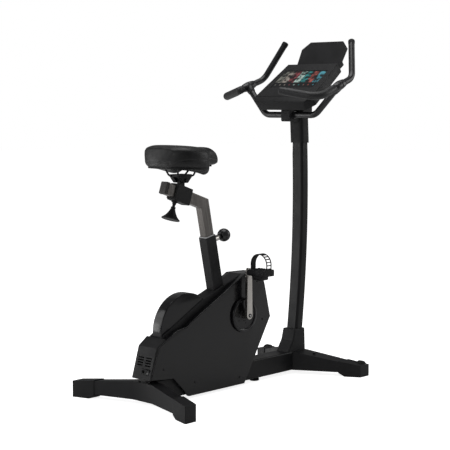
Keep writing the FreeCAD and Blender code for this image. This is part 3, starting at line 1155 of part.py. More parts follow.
def saddle_pad():
    """Plain padded shape: broad at the rear, with low wings, narrow and drooping at the nose."""
    rear, nose = SADDLE_REAR_X, SADDLE_NOSE_X
    plan = mirror_outline([(rear, 52), (rear + 22, 98), (rear + 78, SADDLE_HALF), (rear + 130, SADDLE_HALF),
                           (rear + 166, 94), (rear + 194, 64), (rear + 230, 46),
                           (nose - 20, SADDLE_NOSE_HALF), (nose, SADDLE_NOSE_HALF / 2)])
    side = [(rear, SADDLE_BOTTOM + 2), (rear + 50, SADDLE_BOTTOM), (rear + 164, SADDLE_BOTTOM - 22),
            (rear + 180, SADDLE_BOTTOM - 16), (rear + 200, SADDLE_BOTTOM + 10),
            (nose - 12, SADDLE_BOTTOM + 14), (nose, SADDLE_BOTTOM + 22), (nose, SADDLE_TOP - 46), (nose - 26, SADDLE_TOP - 22),
            (nose - 92, SADDLE_TOP - 12), (rear + 70, SADDLE_TOP), (rear, SADDLE_TOP)]
    low, high = SADDLE_BOTTOM - 30, SADDLE_TOP
    pad = plan_prism(plan, low, high).common(side_prism(side, -SADDLE_HALF, SADDLE_HALF))
    pad = round_edges(pad, SADDLE_ROUND, lambda e: e.CenterOfMass.z > SADDLE_TOP - 1
                      and not runs_along(e, Vector(0, 1, 0)))
    pad = pad.cut(box(rear + 60, nose, -SADDLE_WELL_HALF, SADDLE_WELL_HALF, low, SADDLE_BOTTOM))
    rails = saddle_rails()
    return pad.cut(rails.Solids[0]).cut(rails.Solids[1])


def pin_knob():
    """Spring pin with its ball knob; pulling it forward frees the post."""
    face = SEAT_TUBE_DEPTH / 2
    start = POST_DEPTH / 2 + POST_GAP + CLEAR
    knob_at = face + PIN_COLLAR + CLEAR + PIN_KNOB_RADIUS * 0.8
    pin = rod(start, 0, -PIN_AT, PIN_RADIUS, knob_at - start, Vector(1, 0, 0))
    ball = Part.makeSphere(PIN_KNOB_RADIUS, Vector(knob_at, 0, -PIN_AT))
    flat = box(face, face + PIN_COLLAR + CLEAR, -40, 40, -PIN_AT - 40, -PIN_AT + 40)
    return along_seat_tube(pin.fuse(ball.cut(flat)).removeSplitter())


def carriage_knob():
    """Flared screw knob under the carriage that locks it on the arm."""
    depth_out = POST_DEPTH / 2 + POST_GAP + CARRIAGE_WALL
    top = -depth_out - 5 - CLEAR
    stud_top = -POST_DEPTH / 2 - POST_GAP - CLEAR
    stud = rod(LOCK_AT, 0, top - 30, LOCK_STUD_RADIUS, stud_top - top + 30, Vector(0, 0, 1))
    neck = rod(LOCK_AT, 0, top - 26, 9, 26, Vector(0, 0, 1))
    flare = Part.makeCone(LOCK_KNOB_RADIUS, 9, 34, Vector(LOCK_AT, 0, top - 60), Vector(0, 0, 1))
    rim = rod(LOCK_AT, 0, top - 66, LOCK_KNOB_RADIUS, 6, Vector(0, 0, 1))
    return along_arm(stud.fuse(neck).fuse(flare).fuse(rim).removeSplitter())


# ---- fasteners ---------------------------------------------------------------------------------
def cover_screws():
    """Button-head screws that hold the right and left covers."""
    screws = []
    for x, z in SCREW_PLACES:
        screws.append(rod_y(x, z, SCREW_RADIUS, HOUSING_HALF, HOUSING_HALF + SCREW_HEAD))
    return both_sides(Part.makeCompound(screws))


def frame_bolts():
    """Bolts on top of both foot bars, and the transport wheels' axle bolts."""
    bolts = wheel_axles().Solids
    for y in (-90.0, 90.0):
        top = front_bar_at(abs(y))[2]
        middle = (front_bar_at(abs(y))[0] + front_bar_at(abs(y))[1]) / 2
        bolts.append(rod(middle, y, top - TUBE_WALL, 6, 5 + TUBE_WALL, Vector(0, 0, 1)))
    for y in (-24.0, 24.0):
        bolts.append(rod(REAR_BAR_X + 9, y, REAR_BAR_TOP, 5, 4, Vector(0, 0, 1)))
    return Part.makeCompound(bolts)


NODES = {
    "main_beam": main_beam,
    "rear_stabiliser": rear_stabiliser,
    "front_stabiliser": front_stabiliser,
    "rear_feet": rear_feet,
    "front_feet": front_feet,
    "left_wheel": transport_wheel,
    "right_wheel": lambda: other_side(transport_wheel()),
    "centre_foot": centre_foot,
    "mast": mast,
    "mast_boot": mast_boot,
    "neck_sleeve": neck_sleeve,
    "handlebar_clamp": handlebar_clamp,
    "handlebar_tube": handlebar_tube,
    "hand_grips": hand_grips,
    "console_back_shell": console_back_shell,
    "console_bezel": console_bezel,
    "display_screen": display_screen,
    "jog_dial": jog_dial,
    "jog_button": jog_button,
    "circuit_boards": circuit_boards,
    "media_rack": media_rack,
    "left_side_cover": side_cover,
    "right_side_cover": lambda: other_side(side_cover()),
    "spine_cover": spine_cover,
    "drum_cover": drum_cover,
    "tail_cover": tail_cover,
    "power_inlet": power_inlet,
    "power_rocker": power_rocker,
    "seat_tube": seat_tube,
    "seat_tube_bush": seat_tube_bush,
    "crank_shell": crank_shell,
    "bearings": bearings,
    "drive_brackets": drive_brackets,
    "flywheel": flywheel,
    "flywheel_shaft": flywheel_shaft,
    "flywheel_pulley": flywheel_pulley,
    "drive_pulley": drive_pulley,
    "drive_belt": drive_belt,
    "idler_pulley": idler_pulley,
    "brake_bracket": brake_bracket,
    "brake_motor": brake_motor,
    "crank_axle": crank_axle,
    "crank_arms": crank_arms,
    "crank_discs": crank_discs,
    "pedal_spindles": pedal_spindles,
    "left_pedal": lambda: pedal(0, CRANK_HEIGHT - CRANK_LENGTH, 1),
    "right_pedal": lambda: pedal(0, PEDAL_Z, -1),
    "left_pedal_strap": lambda: pedal_strap(0, CRANK_HEIGHT - CRANK_LENGTH, 1),
    "right_pedal_strap": lambda: pedal_strap(0, PEDAL_Z, -1),
    "seat_post": seat_post,
    "post_end_cap": post_end_cap,
    "saddle_carriage": saddle_carriage,
    "tilt_bolt": tilt_bolt,
    "saddle_clamp": saddle_clamp,
    "saddle_rails": saddle_rails,
    "saddle_pad": saddle_pad,
    "pin_knob": pin_knob,
    "carriage_knob": carriage_knob,
    "cover_screws": cover_screws,
    "frame_bolts": frame_bolts,
}

os.makedirs("parts", exist_ok=True)
for name, make in NODES.items():
    shape = make()
    solids = shape.Solids
    if not solids or not all(solid.isValid() for solid in solids):
        raise RuntimeError(name + " is not made of valid solids")
    result = solids[0] if len(solids) == 1 else Part.makeCompound(solids)
    result.exportStep("parts/" + name + ".step")
    bounds = result.BoundBox
    print(f"{name}: {len(solids)} solid(s), x {bounds.XMin:.1f} {bounds.XMax:.1f}, "
          f"y {bounds.YMin:.1f} {bounds.YMax:.1f}, z {bounds.ZMin:.1f} {bounds.ZMax:.1f}")
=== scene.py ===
# %% [markdown]
# # An upright exercise bike, dressed over its CAD frame
# The CAD model is loaded as a fixed frame: every shape that turns or slides is already in the
# right place there. This lesson gives each part its finish, and builds the soft and the finely
# shaped pieces anew: the saddle, the foam grips, the pedals and straps, the knobs and the crank
# covers. All sizes are in metres, +X is the front of the bike, +Y the rider's left, +Z up.

# %% Load the frame
import json
import math

import bmesh
import bpy
from mathutils import Matrix, Vector

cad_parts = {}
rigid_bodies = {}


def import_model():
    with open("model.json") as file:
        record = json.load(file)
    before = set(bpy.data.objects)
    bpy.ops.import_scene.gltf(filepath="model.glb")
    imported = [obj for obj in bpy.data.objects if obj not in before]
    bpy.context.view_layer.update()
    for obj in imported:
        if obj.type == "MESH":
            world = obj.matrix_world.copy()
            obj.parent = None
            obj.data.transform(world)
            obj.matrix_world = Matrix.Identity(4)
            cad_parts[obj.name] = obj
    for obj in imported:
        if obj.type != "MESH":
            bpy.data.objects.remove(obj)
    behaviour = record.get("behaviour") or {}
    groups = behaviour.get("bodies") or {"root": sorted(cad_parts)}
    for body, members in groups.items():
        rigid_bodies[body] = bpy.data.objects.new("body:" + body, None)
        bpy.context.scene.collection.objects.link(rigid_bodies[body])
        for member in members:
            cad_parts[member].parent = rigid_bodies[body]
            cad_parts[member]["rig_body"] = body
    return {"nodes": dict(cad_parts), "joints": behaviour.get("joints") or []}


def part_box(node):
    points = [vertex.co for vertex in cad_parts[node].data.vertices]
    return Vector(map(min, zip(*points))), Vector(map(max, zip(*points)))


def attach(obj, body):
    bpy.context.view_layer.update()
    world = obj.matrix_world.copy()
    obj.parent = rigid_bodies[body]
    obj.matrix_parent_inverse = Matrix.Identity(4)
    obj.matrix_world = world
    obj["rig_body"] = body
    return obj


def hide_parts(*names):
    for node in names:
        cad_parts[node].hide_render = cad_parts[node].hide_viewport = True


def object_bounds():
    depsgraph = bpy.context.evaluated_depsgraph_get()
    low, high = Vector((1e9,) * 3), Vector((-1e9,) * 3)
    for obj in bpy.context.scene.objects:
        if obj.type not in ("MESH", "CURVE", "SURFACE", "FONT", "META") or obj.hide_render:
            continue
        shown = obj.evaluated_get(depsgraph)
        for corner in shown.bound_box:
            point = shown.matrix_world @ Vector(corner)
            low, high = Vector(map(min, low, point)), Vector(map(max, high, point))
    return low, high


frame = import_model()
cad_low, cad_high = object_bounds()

nodes = frame["nodes"]
joints = {joint["name"]: joint for joint in frame["joints"]}
print("CAD box", [round(v, 4) for v in cad_low], [round(v, 4) for v in cad_high])


# %% [markdown]
# ## Finishes
# Almost everything on this bike is black, so its parts are told apart by how they shine. Each
# finish starts from a Principled shader whose plain values sit on its own sockets. Noise then
# varies the colour and the roughness a little, as moulding, powder coating and handling do, and
# a fine bump gives the grain. The noise reads Object coordinates, which are metres here, so a
# scale of 1000 is a grain of about a millimetre on every part.

# %% Helpers for finishes
def new_finish(name, roughness, metallic=0.0, specular=0.3, coat=0.0):
    """A material with its plain values set on the shader itself."""
    material = bpy.data.materials.new(name)
    material.use_nodes = True
    shader = material.node_tree.nodes["Principled BSDF"]
    shader.inputs["Roughness"].default_value = roughness
    shader.inputs["Metallic"].default_value = metallic
    shader.inputs["Specular IOR Level"].default_value = specular
    shader.inputs["Coat Weight"].default_value = coat
    shader.inputs["Coat Roughness"].default_value = 0.06
    return material


def add_node(material, kind, **values):
    """Adds a shader node and sets its named inputs."""
    node = material.node_tree.nodes.new(kind)
    for key, value in values.items():
        node.inputs[key.replace("_", " ")].default_value = value
    return node


def object_place(material, centre=(0.0, 0.0, 0.0), turn=0.0, longer=(1.0, 1.0, 1.0)):
    """Object coordinates seen from a centre, turned about Y, with patterns drawn out by longer."""
    where = material.node_tree.nodes.new("ShaderNodeTexCoord")
    mapping = add_node(material, "ShaderNodeMapping", Location=centre, Rotation=(0.0, turn, 0.0),
                       Scale=longer)
    mapping.vector_type = "TEXTURE"
    material.node_tree.links.new(where.outputs["Object"], mapping.inputs["Vector"])
    return mapping


def place_noise(material, scale, detail=3.0, **place):
    """Noise on Object coordinates."""
    noise = add_node(material, "ShaderNodeTexNoise", Scale=scale, Detail=detail)
    mapping = object_place(material, **place)
    material.node_tree.links.new(mapping.outputs["Vector"], noise.inputs["Vector"])
    return noise


def vary(material, noise, dark, light, smooth, rough):
    """Runs the colour and the roughness between two values with the noise."""
    links = material.node_tree.links
    shader = material.node_tree.nodes["Principled BSDF"]
    ramp = material.node_tree.nodes.new("ShaderNodeValToRGB")
    ramp.color_ramp.elements[0].position = 0.3
    ramp.color_ramp.elements[0].color = (*dark, 1.0)
    ramp.color_ramp.elements[1].position = 0.72
    ramp.color_ramp.elements[1].color = (*light, 1.0)
    spread = add_node(material, "ShaderNodeMapRange", From_Min=0.3, From_Max=0.7, To_Min=smooth, To_Max=rough)
    links.new(noise.outputs["Fac"], ramp.inputs["Fac"])
    links.new(noise.outputs["Fac"], spread.inputs["Value"])
    links.new(ramp.outputs["Color"], shader.inputs["Base Color"])
    links.new(spread.outputs["Result"], shader.inputs["Roughness"])


def add_grain(material, texture, output, depth, strength=0.6):
    """Bump from a texture's output, with its depth in metres."""
    links = material.node_tree.links
    shader = material.node_tree.nodes["Principled BSDF"]
    bump = add_node(material, "ShaderNodeBump", Strength=strength, Distance=depth)
    links.new(texture.outputs[output], bump.inputs["Height"])
    links.new(bump.outputs["Normal"], shader.inputs["Normal"])


# %% [markdown]
# ### Black paint, shells and mouldings
# Powder coat has a slight orange peel and a satin shine. The big covers are injection moulded in
# a polished tool, so they are nearly mirrors with only a very fine ripple. The end feet, the
# boot and the clamp come from an etched tool, which leaves an even, dull grain.

# %% Black finishes
powder_coat = new_finish("powder_coat", 0.4, specular=0.2)
vary(powder_coat, place_noise(powder_coat, 14.0), (0.0045, 0.0045, 0.005), (0.009, 0.009, 0.010), 0.33, 0.46)
add_grain(powder_coat, place_noise(powder_coat, 900.0, 2.0), "Fac", 0.00012, 0.5)

gloss_shell = new_finish("gloss_shell", 0.2, specular=0.25, coat=0.12)
vary(gloss_shell, place_noise(gloss_shell, 9.0), (0.0035, 0.0035, 0.004), (0.006, 0.006, 0.0068), 0.15, 0.24)
add_grain(gloss_shell, place_noise(gloss_shell, 420.0, 2.0), "Fac", 0.00005, 0.25)

grained_plastic = new_finish("grained_plastic", 0.6, specular=0.2)
vary(grained_plastic, place_noise(grained_plastic, 18.0), (0.006, 0.006, 0.0065),
     (0.012, 0.012, 0.013), 0.46, 0.62)
add_grain(grained_plastic, place_noise(grained_plastic, 1500.0, 4.0), "Fac", 0.0002, 0.7)

bar_paint = new_finish("bar_paint", 0.3, specular=0.4)
vary(bar_paint, place_noise(bar_paint, 22.0), (0.009, 0.009, 0.010), (0.015, 0.015, 0.0165), 0.26, 0.34)
add_grain(bar_paint, place_noise(bar_paint, 800.0), "Fac", 0.00008, 0.4)

black_screw = new_finish("black_screw", 0.35, metallic=0.6, specular=0.4)
vary(black_screw, place_noise(black_screw, 120.0), (0.008, 0.008, 0.009), (0.02, 0.02, 0.022), 0.28, 0.45)
add_grain(black_screw, place_noise(black_screw, 1500.0), "Fac", 0.00006, 0.4)

tyre_rubber = new_finish("tyre_rubber", 0.7, specular=0.2)
vary(tyre_rubber, place_noise(tyre_rubber, 70.0), (0.006, 0.006, 0.006), (0.014, 0.014, 0.0135), 0.55, 0.78)
add_grain(tyre_rubber, place_noise(tyre_rubber, 1300.0), "Fac", 0.00018, 0.6)

# %% [markdown]
# ### Foam and leatherette
# The grips are closed-cell foam with a skin: a soft sheen over tiny bubbles. The saddle's cover is a
# coated fabric, pressed with a leather grain: small cells between fine creases. A Voronoi
# texture's distance to the cell edge gives those creases.

# %% Soft finishes
grip_foam = new_finish("grip_foam", 0.5, specular=0.38)
vary(grip_foam, place_noise(grip_foam, 45.0), (0.010, 0.010, 0.011), (0.018, 0.018, 0.0195), 0.40, 0.56)
add_grain(grip_foam, place_noise(grip_foam, 1400.0, 6.0), "Fac", 0.0002, 0.6)

leatherette = new_finish("leatherette", 0.42, specular=0.3)
vary(leatherette, place_noise(leatherette, 26.0, 4.0), (0.004, 0.004, 0.0045),
     (0.010, 0.010, 0.0105), 0.34, 0.5)
creases = add_node(leatherette, "ShaderNodeTexVoronoi", Scale=620.0)
creases.feature = "DISTANCE_TO_EDGE"
leatherette.node_tree.links.new(object_place(leatherette).outputs["Vector"], creases.inputs["Vector"])
add_grain(leatherette, creases, "Distance", 0.0004, 0.55)

# %% [markdown]
# ### Bare metals and light plastic
# The seat post is brushed along its length, so its noise is drawn out along the post's lean. The
# crank arms are polished, then brushed once. Turned and plated steel is nearly even. The collar
# in the seat tube's mouth is the only light plastic: the post's end cap is a dull dark grey.

# %% Metal finishes
post_axis = Vector(joints["seat_height"]["axis"])
post_lean = math.atan2(post_axis.x, post_axis.z)
brushed_post = new_finish("brushed_post", 0.36, metallic=0.9, specular=0.5)
vary(brushed_post, place_noise(brushed_post, 420.0, 3.0, turn=post_lean, longer=(1.0, 1.0, 40.0)),
     (0.105, 0.098, 0.092), (0.18, 0.169, 0.160), 0.28, 0.42)
add_grain(brushed_post, place_noise(brushed_post, 1600.0, 3.0, turn=post_lean, longer=(1.0, 1.0, 60.0)),
          "Fac", 0.00006, 0.45)

bright_arm = new_finish("bright_arm", 0.2, metallic=1.0)
vary(bright_arm, place_noise(bright_arm, 300.0, 2.0, longer=(1.0, 1.0, 25.0)), (0.34, 0.325, 0.305),
     (0.54, 0.52, 0.49), 0.14, 0.28)
add_grain(bright_arm, place_noise(bright_arm, 1500.0, 2.0, longer=(1.0, 1.0, 30.0)), "Fac", 0.00004, 0.3)

plated_steel = new_finish("plated_steel", 0.34, metallic=1.0)
vary(plated_steel, place_noise(plated_steel, 160.0), (0.38, 0.38, 0.39), (0.58, 0.58, 0.59), 0.26, 0.42)
add_grain(plated_steel, place_noise(plated_steel, 1800.0), "Fac", 0.00006, 0.4)

cast_metal = new_finish("cast_metal", 0.55, metallic=0.9)
vary(cast_metal, place_noise(cast_metal, 60.0), (0.07, 0.07, 0.075), (0.14, 0.14, 0.145), 0.45, 0.66)
add_grain(cast_metal, place_noise(cast_metal, 900.0, 5.0), "Fac", 0.0004, 0.6)

pale_plastic = new_finish("pale_plastic", 0.4, specular=0.4)
vary(pale_plastic, place_noise(pale_plastic, 25.0), (0.30, 0.30, 0.31), (0.42, 0.42, 0.42), 0.34, 0.48)
add_grain(pale_plastic, place_noise(pale_plastic, 1300.0), "Fac", 0.0001, 0.4)

cap_plastic = new_finish("cap_plastic", 0.5, specular=0.3)
vary(cap_plastic, place_noise(cap_plastic, 30.0), (0.022, 0.020, 0.019), (0.036, 0.033, 0.031), 0.42, 0.56)
add_grain(cap_plastic, place_noise(cap_plastic, 1300.0), "Fac", 0.00015, 0.5)

board_green = new_finish("board_green", 0.4)
vary(board_green, place_noise(board_green, 240.0), (0.007, 0.06, 0.02), (0.02, 0.13, 0.05), 0.3, 0.5)
add_grain(board_green, place_noise(board_green, 600.0), "Fac", 0.0002, 0.5)
print("finishes made:", len(bpy.data.materials))

# %% [markdown]
# ### The lit screen
# The display shows a page of picture tiles under glass. The page is worked out in the screen's
# own plane: the Object coordinates are moved to the screen's middle and turned by its slope,
# which leaves a distance up the slope and one across. A ramp with sharp steps gives each tile
# its colour, and a noise with strong contrast breaks the colour up like a picture.

# %% Screen finish
SCREEN_WIDE, SCREEN_TALL = 0.220, 0.116
dial_axis = Vector(joints["dial_turn"]["axis"])
slope = math.atan2(-dial_axis.x, dial_axis.z)
screen_low, screen_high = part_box("display_screen")
screen_middle = (screen_low + screen_high) / 2

lit_screen = new_finish("lit_screen", 0.12, specular=0.4)
tree = lit_screen.node_tree
plane = object_place(lit_screen, centre=screen_middle, turn=-slope)
axes = add_node(lit_screen, "ShaderNodeSeparateXYZ")
tree.links.new(plane.outputs["Vector"], axes.inputs["Vector"])


def screen_math(operation, first, second):
    """One Math node; its inputs are sockets or plain numbers."""
    node = tree.nodes.new("ShaderNodeMath")
    node.operation = operation
    for socket, value in zip(node.inputs, (first, second)):
        if isinstance(value, bpy.types.NodeSocket):
            tree.links.new(value, socket)
        else:
            socket.default_value = value
    return node.outputs[0]


def between(value, low, high):
    """1 where the value lies between two limits."""
    return screen_math("MULTIPLY", screen_math("GREATER_THAN", value, low),
                       screen_math("LESS_THAN", value, high))


across = screen_math("ADD", screen_math("DIVIDE", axes.outputs["Y"], -SCREEN_WIDE), 0.5)
upward = screen_math("ADD", screen_math("DIVIDE", axes.outputs["X"], SCREEN_TALL), 0.5)

TILES = 7
within = screen_math("FRACT", screen_math("MULTIPLY", across, TILES), 0.0)
page = screen_math("MULTIPLY", between(within, 0.03, 0.97), between(upward, 0.30, 0.95))
tile_colour = tree.nodes.new("ShaderNodeValToRGB")
tile_colour.color_ramp.interpolation = "CONSTANT"
TILE_COLOURS = [(0.10, 0.10, 0.085), (0.17, 0.15, 0.13), (0.13, 0.025, 0.03), (0.22, 0.30, 0.27),
                (0.015, 0.13, 0.13), (0.20, 0.045, 0.035), (0.04, 0.17, 0.21)]
tile_colour.color_ramp.elements[0].color = (*TILE_COLOURS[0], 1.0)
tile_colour.color_ramp.elements[1].color = (*TILE_COLOURS[-1], 1.0)
tile_colour.color_ramp.elements[1].position = (TILES - 1) / TILES
for place, colour in enumerate(TILE_COLOURS[1:-1], start=1):
    element = tile_colour.color_ramp.elements.new(place / TILES)
    element.color = (*colour, 1.0)
tree.links.new(across, tile_colour.inputs["Fac"])
picture = place_noise(lit_screen, 62.0, 5.0)
lift = add_node(lit_screen, "ShaderNodeMapRange", From_Min=0.42, From_Max=0.62, To_Min=0.03, To_Max=2.2)
tree.links.new(picture.outputs["Fac"], lift.inputs["Value"])

dot_across = screen_math("FRACT", screen_math("MULTIPLY", across, 9.0), 0.0)
dots = screen_math("MULTIPLY", between(dot_across, 0.38, 0.62), between(upward, 0.13, 0.20))
lit = screen_math("ADD", screen_math("MULTIPLY", page, lift.outputs["Result"]),
                  screen_math("MULTIPLY", dots, 1.2))
shade = tree.nodes.new("ShaderNodeMix")
shade.data_type, shade.blend_type = "RGBA", "MULTIPLY"
shade.inputs["Factor"].default_value = 1.0
tree.links.new(tile_colour.outputs["Color"], shade.inputs["A"])
tree.links.new(lit, shade.inputs["B"])
glass = tree.nodes["Principled BSDF"]
tree.links.new(shade.outputs["Result"], glass.inputs["Emission Color"])
glass.inputs["Emission Strength"].default_value = 0.75
glass.inputs["Base Color"].default_value = (0.004, 0.004, 0.005, 1.0)
print("screen", SCREEN_WIDE, "x", SCREEN_TALL, "m, slope", round(math.degrees(slope), 1))

# %% [markdown]
# ## Camera, floor and lights
# The camera stands behind the bike on the rider's right, far enough away for a long lens. Large
# softboxes above, in front, at the left and behind give the long, even highlights that show black
# shapes. The floor is pale and lit a little by itself, so that it fades into the white world.

# %% Camera
camera = bpy.data.objects.new("camera", bpy.data.cameras.new("camera"))
bpy.context.scene.collection.objects.link(camera)
YAW, DOWN, ROLL, LENS = 43.4638, 5.4887, 0.0513, 101.79
CAMERA_AT = (-3.52829, -3.29715, 1.08366)
yaw, down = math.radians(YAW), math.radians(DOWN)
look = Vector((math.cos(yaw) * math.cos(down), math.sin(yaw) * math.cos(down), -math.sin(down)))
roll = Matrix.Rotation(math.radians(ROLL), 3, "Z")
camera.rotation_euler = (look.to_track_quat("-Z", "Y").to_matrix() @ roll).to_euler()
camera.location = CAMERA_AT
camera.data.sensor_width = 36.0
camera.data.lens = LENS
bpy.context.scene.camera = camera

# %% Floor, world and lights
def glow_to_camera(tree, others, seen):
    """One strength for the rays that light the bike, another for the plain background that is seen."""
    ray = tree.nodes.new("ShaderNodeLightPath")
    level = tree.nodes.new("ShaderNodeMapRange")
    level.inputs["To Min"].default_value = others
    level.inputs["To Max"].default_value = seen
    tree.links.new(ray.outputs["Is Camera Ray"], level.inputs["Value"])
    return level.outputs["Result"]


bpy.ops.mesh.primitive_plane_add(size=40.0)
floor = bpy.context.object
floor.name = "floor"
pale_floor = new_finish("pale_floor", 0.9, specular=0.0)
vary(pale_floor, place_noise(pale_floor, 3.0), (0.86, 0.86, 0.86), (0.88, 0.88, 0.88), 0.85, 0.95)
floor_shader = pale_floor.node_tree.nodes["Principled BSDF"]
floor_shader.inputs["Emission Color"].default_value = (1.0, 1.0, 1.0, 1.0)
seen_floor = glow_to_camera(pale_floor.node_tree, 0.03, 0.86)
pale_floor.node_tree.links.new(seen_floor, floor_shader.inputs["Emission Strength"])
floor.data.materials.append(pale_floor)

world = bpy.context.scene.world or bpy.data.worlds.new("world")
bpy.context.scene.world = world
world.use_nodes = True
sky = world.node_tree.nodes["Background"]
world.node_tree.links.new(glow_to_camera(world.node_tree, 0.2, 1.0), sky.inputs["Strength"])
sky.inputs["Color"].default_value = (1.0, 1.0, 1.0, 1.0)
bpy.context.scene.view_settings.view_transform = "Standard"


def softbox(name, place, size, power):
    """A square area light that faces the middle of the bike."""
    light = bpy.data.lights.new(name, "AREA")
    light.shape, light.size, light.energy = "SQUARE", size, power
    lamp = bpy.data.objects.new(name, light)
    lamp.location = place
    middle = (cad_low + cad_high) / 2
    lamp.rotation_euler = (middle - Vector(place)).to_track_quat("-Z", "Y").to_euler()
    bpy.context.scene.collection.objects.link(lamp)


softbox("top_light", (0.0, 0.0, 3.8), 2.6, 70.0)
softbox("front_light", (3.6, -2.2, 2.0), 2.4, 38.0)
softbox("left_light", (-3.0, 3.2, 2.2), 2.4, 40.0)
softbox("rear_light", (-4.2, -0.6, 1.6), 1.2, 22.0)
softbox("low_light", (-1.7, 1.9, 0.25), 0.9, 12.0)

# %% [markdown]
# ## Finishes for the CAD parts
# Parts whose CAD shape is already right keep it and only take a finish.

# %% Give each CAD part its finish
FINISHES = [
    (powder_coat, ["main_beam", "rear_stabiliser", "front_stabiliser", "mast", "seat_tube", "crank_shell"]),
    (gloss_shell, ["left_side_cover", "right_side_cover",
                   "drum_cover", "power_rocker", "jog_dial", "crank_discs"]),
    (grained_plastic, ["console_back_shell", "console_bezel", "rear_feet", "front_feet",
                       "centre_foot", "mast_boot", "neck_sleeve",
                       "handlebar_clamp", "media_rack", "spine_cover", "tail_cover", "power_inlet",
                       "saddle_carriage", "saddle_clamp", "carriage_knob", "left_pedal", "right_pedal",
                       "flywheel_pulley", "drive_pulley", "brake_motor"]),
    (bar_paint, ["handlebar_tube", "pin_knob"]),
    (brushed_post, ["seat_post"]),
    (pale_plastic, ["seat_tube_bush"]),
    (cap_plastic, ["post_end_cap", "jog_button"]),
    (plated_steel, ["bearings", "drive_brackets", "flywheel_shaft", "idler_pulley", "brake_bracket",
                    "crank_axle", "pedal_spindles"]),
    (black_screw, ["cover_screws", "frame_bolts", "saddle_rails", "tilt_bolt"]),
    (bright_arm, ["crank_arms"]),
    (cast_metal, ["flywheel"]),
    (tyre_rubber, ["left_wheel", "right_wheel", "drive_belt", "left_pedal_strap", "right_pedal_strap",
                   "hand_grips", "saddle_pad"]),
    (lit_screen, ["display_screen"]),
    (board_green, ["circuit_boards"]),
]
finish_of = {name: finish for finish, names in FINISHES for name in names}
for name, finish in finish_of.items():
    nodes[name].data.materials.clear()
    nodes[name].data.materials.append(finish)
print("CAD parts with no finish:", sorted(set(nodes) - set(finish_of)))

# %% [markdown]
# ## Helpers for new pieces
# A new piece starts as a bmesh and is finished the same way each time: its doubles are merged,
# its faces turned outwards, its shading made smooth except over sharp edges, and it is told
# which CAD body it moves with. Anything round is a profile spun a full turn.

# %% Finish a piece
MERGE = 0.000002


def finish_piece(name, bm, body, finish, crease=35.0):
    """Turns a bmesh into an object that rides on a CAD body."""
    bmesh.ops.remove_doubles(bm, verts=bm.verts, dist=MERGE)
    bmesh.ops.recalc_face_normals(bm, faces=bm.faces)
    mesh = bpy.data.meshes.new(name)
    bm.to_mesh(mesh)
    bm.free()
    mesh.shade_smooth()
    mesh.set_sharp_from_angle(angle=math.radians(crease))
    mesh.materials.append(finish)
    piece = bpy.data.objects.new(name, mesh)
    bpy.context.scene.collection.objects.link(piece)
    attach(piece, body)
    print(name, len(mesh.polygons), "faces")
    return piece


# %% Turned shapes
def axis_matrix(at, along):
    """Takes +Z at the origin to a direction at a point."""
    turn = Vector((0.0, 0.0, 1.0)).rotation_difference(Vector(along).normalized())
    return Matrix.Translation(at) @ turn.to_matrix().to_4x4()


def turned(profile, at, along, steps=48, bm=None):
    """Spins a (radius, height) profile a full turn about the axis through at; adds it to bm if given."""
    shape = bmesh.new()
    corners = [shape.verts.new((radius, 0.0, height)) for radius, height in profile]
    edges = [shape.edges.new(pair) for pair in zip(corners, corners[1:])]
    bmesh.ops.spin(shape, geom=corners + edges, cent=(0, 0, 0), axis=(0, 0, 1), angle=math.tau,
                   steps=steps, use_merge=True)
    bmesh.ops.remove_doubles(shape, verts=shape.verts, dist=MERGE)
    bmesh.ops.recalc_face_normals(shape, faces=shape.faces)
    bmesh.ops.transform(shape, matrix=axis_matrix(at, along), verts=shape.verts)
    return add_to(bm, shape)


def add_to(bm, shape):
    """Adds one bmesh to another, or starts with it."""
    if bm is None:
        return shape
    held = bpy.data.meshes.new("held")
    shape.to_mesh(held)
    shape.free()
    bm.from_mesh(held)
    bpy.data.meshes.remove(held)
    return bm


def block(low, high, round_over, bm=None, segments=3):
    """A box between two corners with rounded edges."""
    shape = bmesh.new()
    bmesh.ops.create_cube(shape, size=1.0)
    low, high = Vector(low), Vector(high)
    size = Matrix.Diagonal((*(high - low), 1.0))
    bmesh.ops.transform(shape, matrix=Matrix.Translation((low + high) / 2) @ size, verts=shape.verts)
    bmesh.ops.bevel(shape, geom=list(shape.edges), offset=round_over, segments=segments, profile=0.5,
                    affect="EDGES", material=-1)
    return add_to(bm, shape)


# %% [markdown]
# ## Softer edges
# No moulded or pressed part has a knife edge. The flat-sided parts are copied from the CAD, their
# loose triangles are merged into clean faces, and a Bevel modifier rounds the edges by a
# millimetre or two. That thin highlight along each edge is what makes black parts readable.

# %% Copies with rounded edges
SOFT_ANGLE, SOFT_SEGMENTS = 32.0, 3


def softened(node, width):
    """Stands for a CAD node with the same shape and rounded edges."""
    bm = bmesh.new()
    bm.from_mesh(nodes[node].data)
    bmesh.ops.remove_doubles(bm, verts=bm.verts, dist=0.00001)
    bmesh.ops.dissolve_limit(bm, angle_limit=math.radians(1.2), verts=bm.verts, edges=bm.edges)
    piece = finish_piece(node + "_soft", bm, nodes[node]["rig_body"], finish_of[node],
                         crease=SOFT_ANGLE)
    round_over = piece.modifiers.new("round_over", "BEVEL")
    round_over.width = width
    round_over.segments = SOFT_SEGMENTS
    round_over.limit_method = "ANGLE"
    round_over.angle_limit = math.radians(SOFT_ANGLE)
    round_over.harden_normals = True
    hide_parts(node)


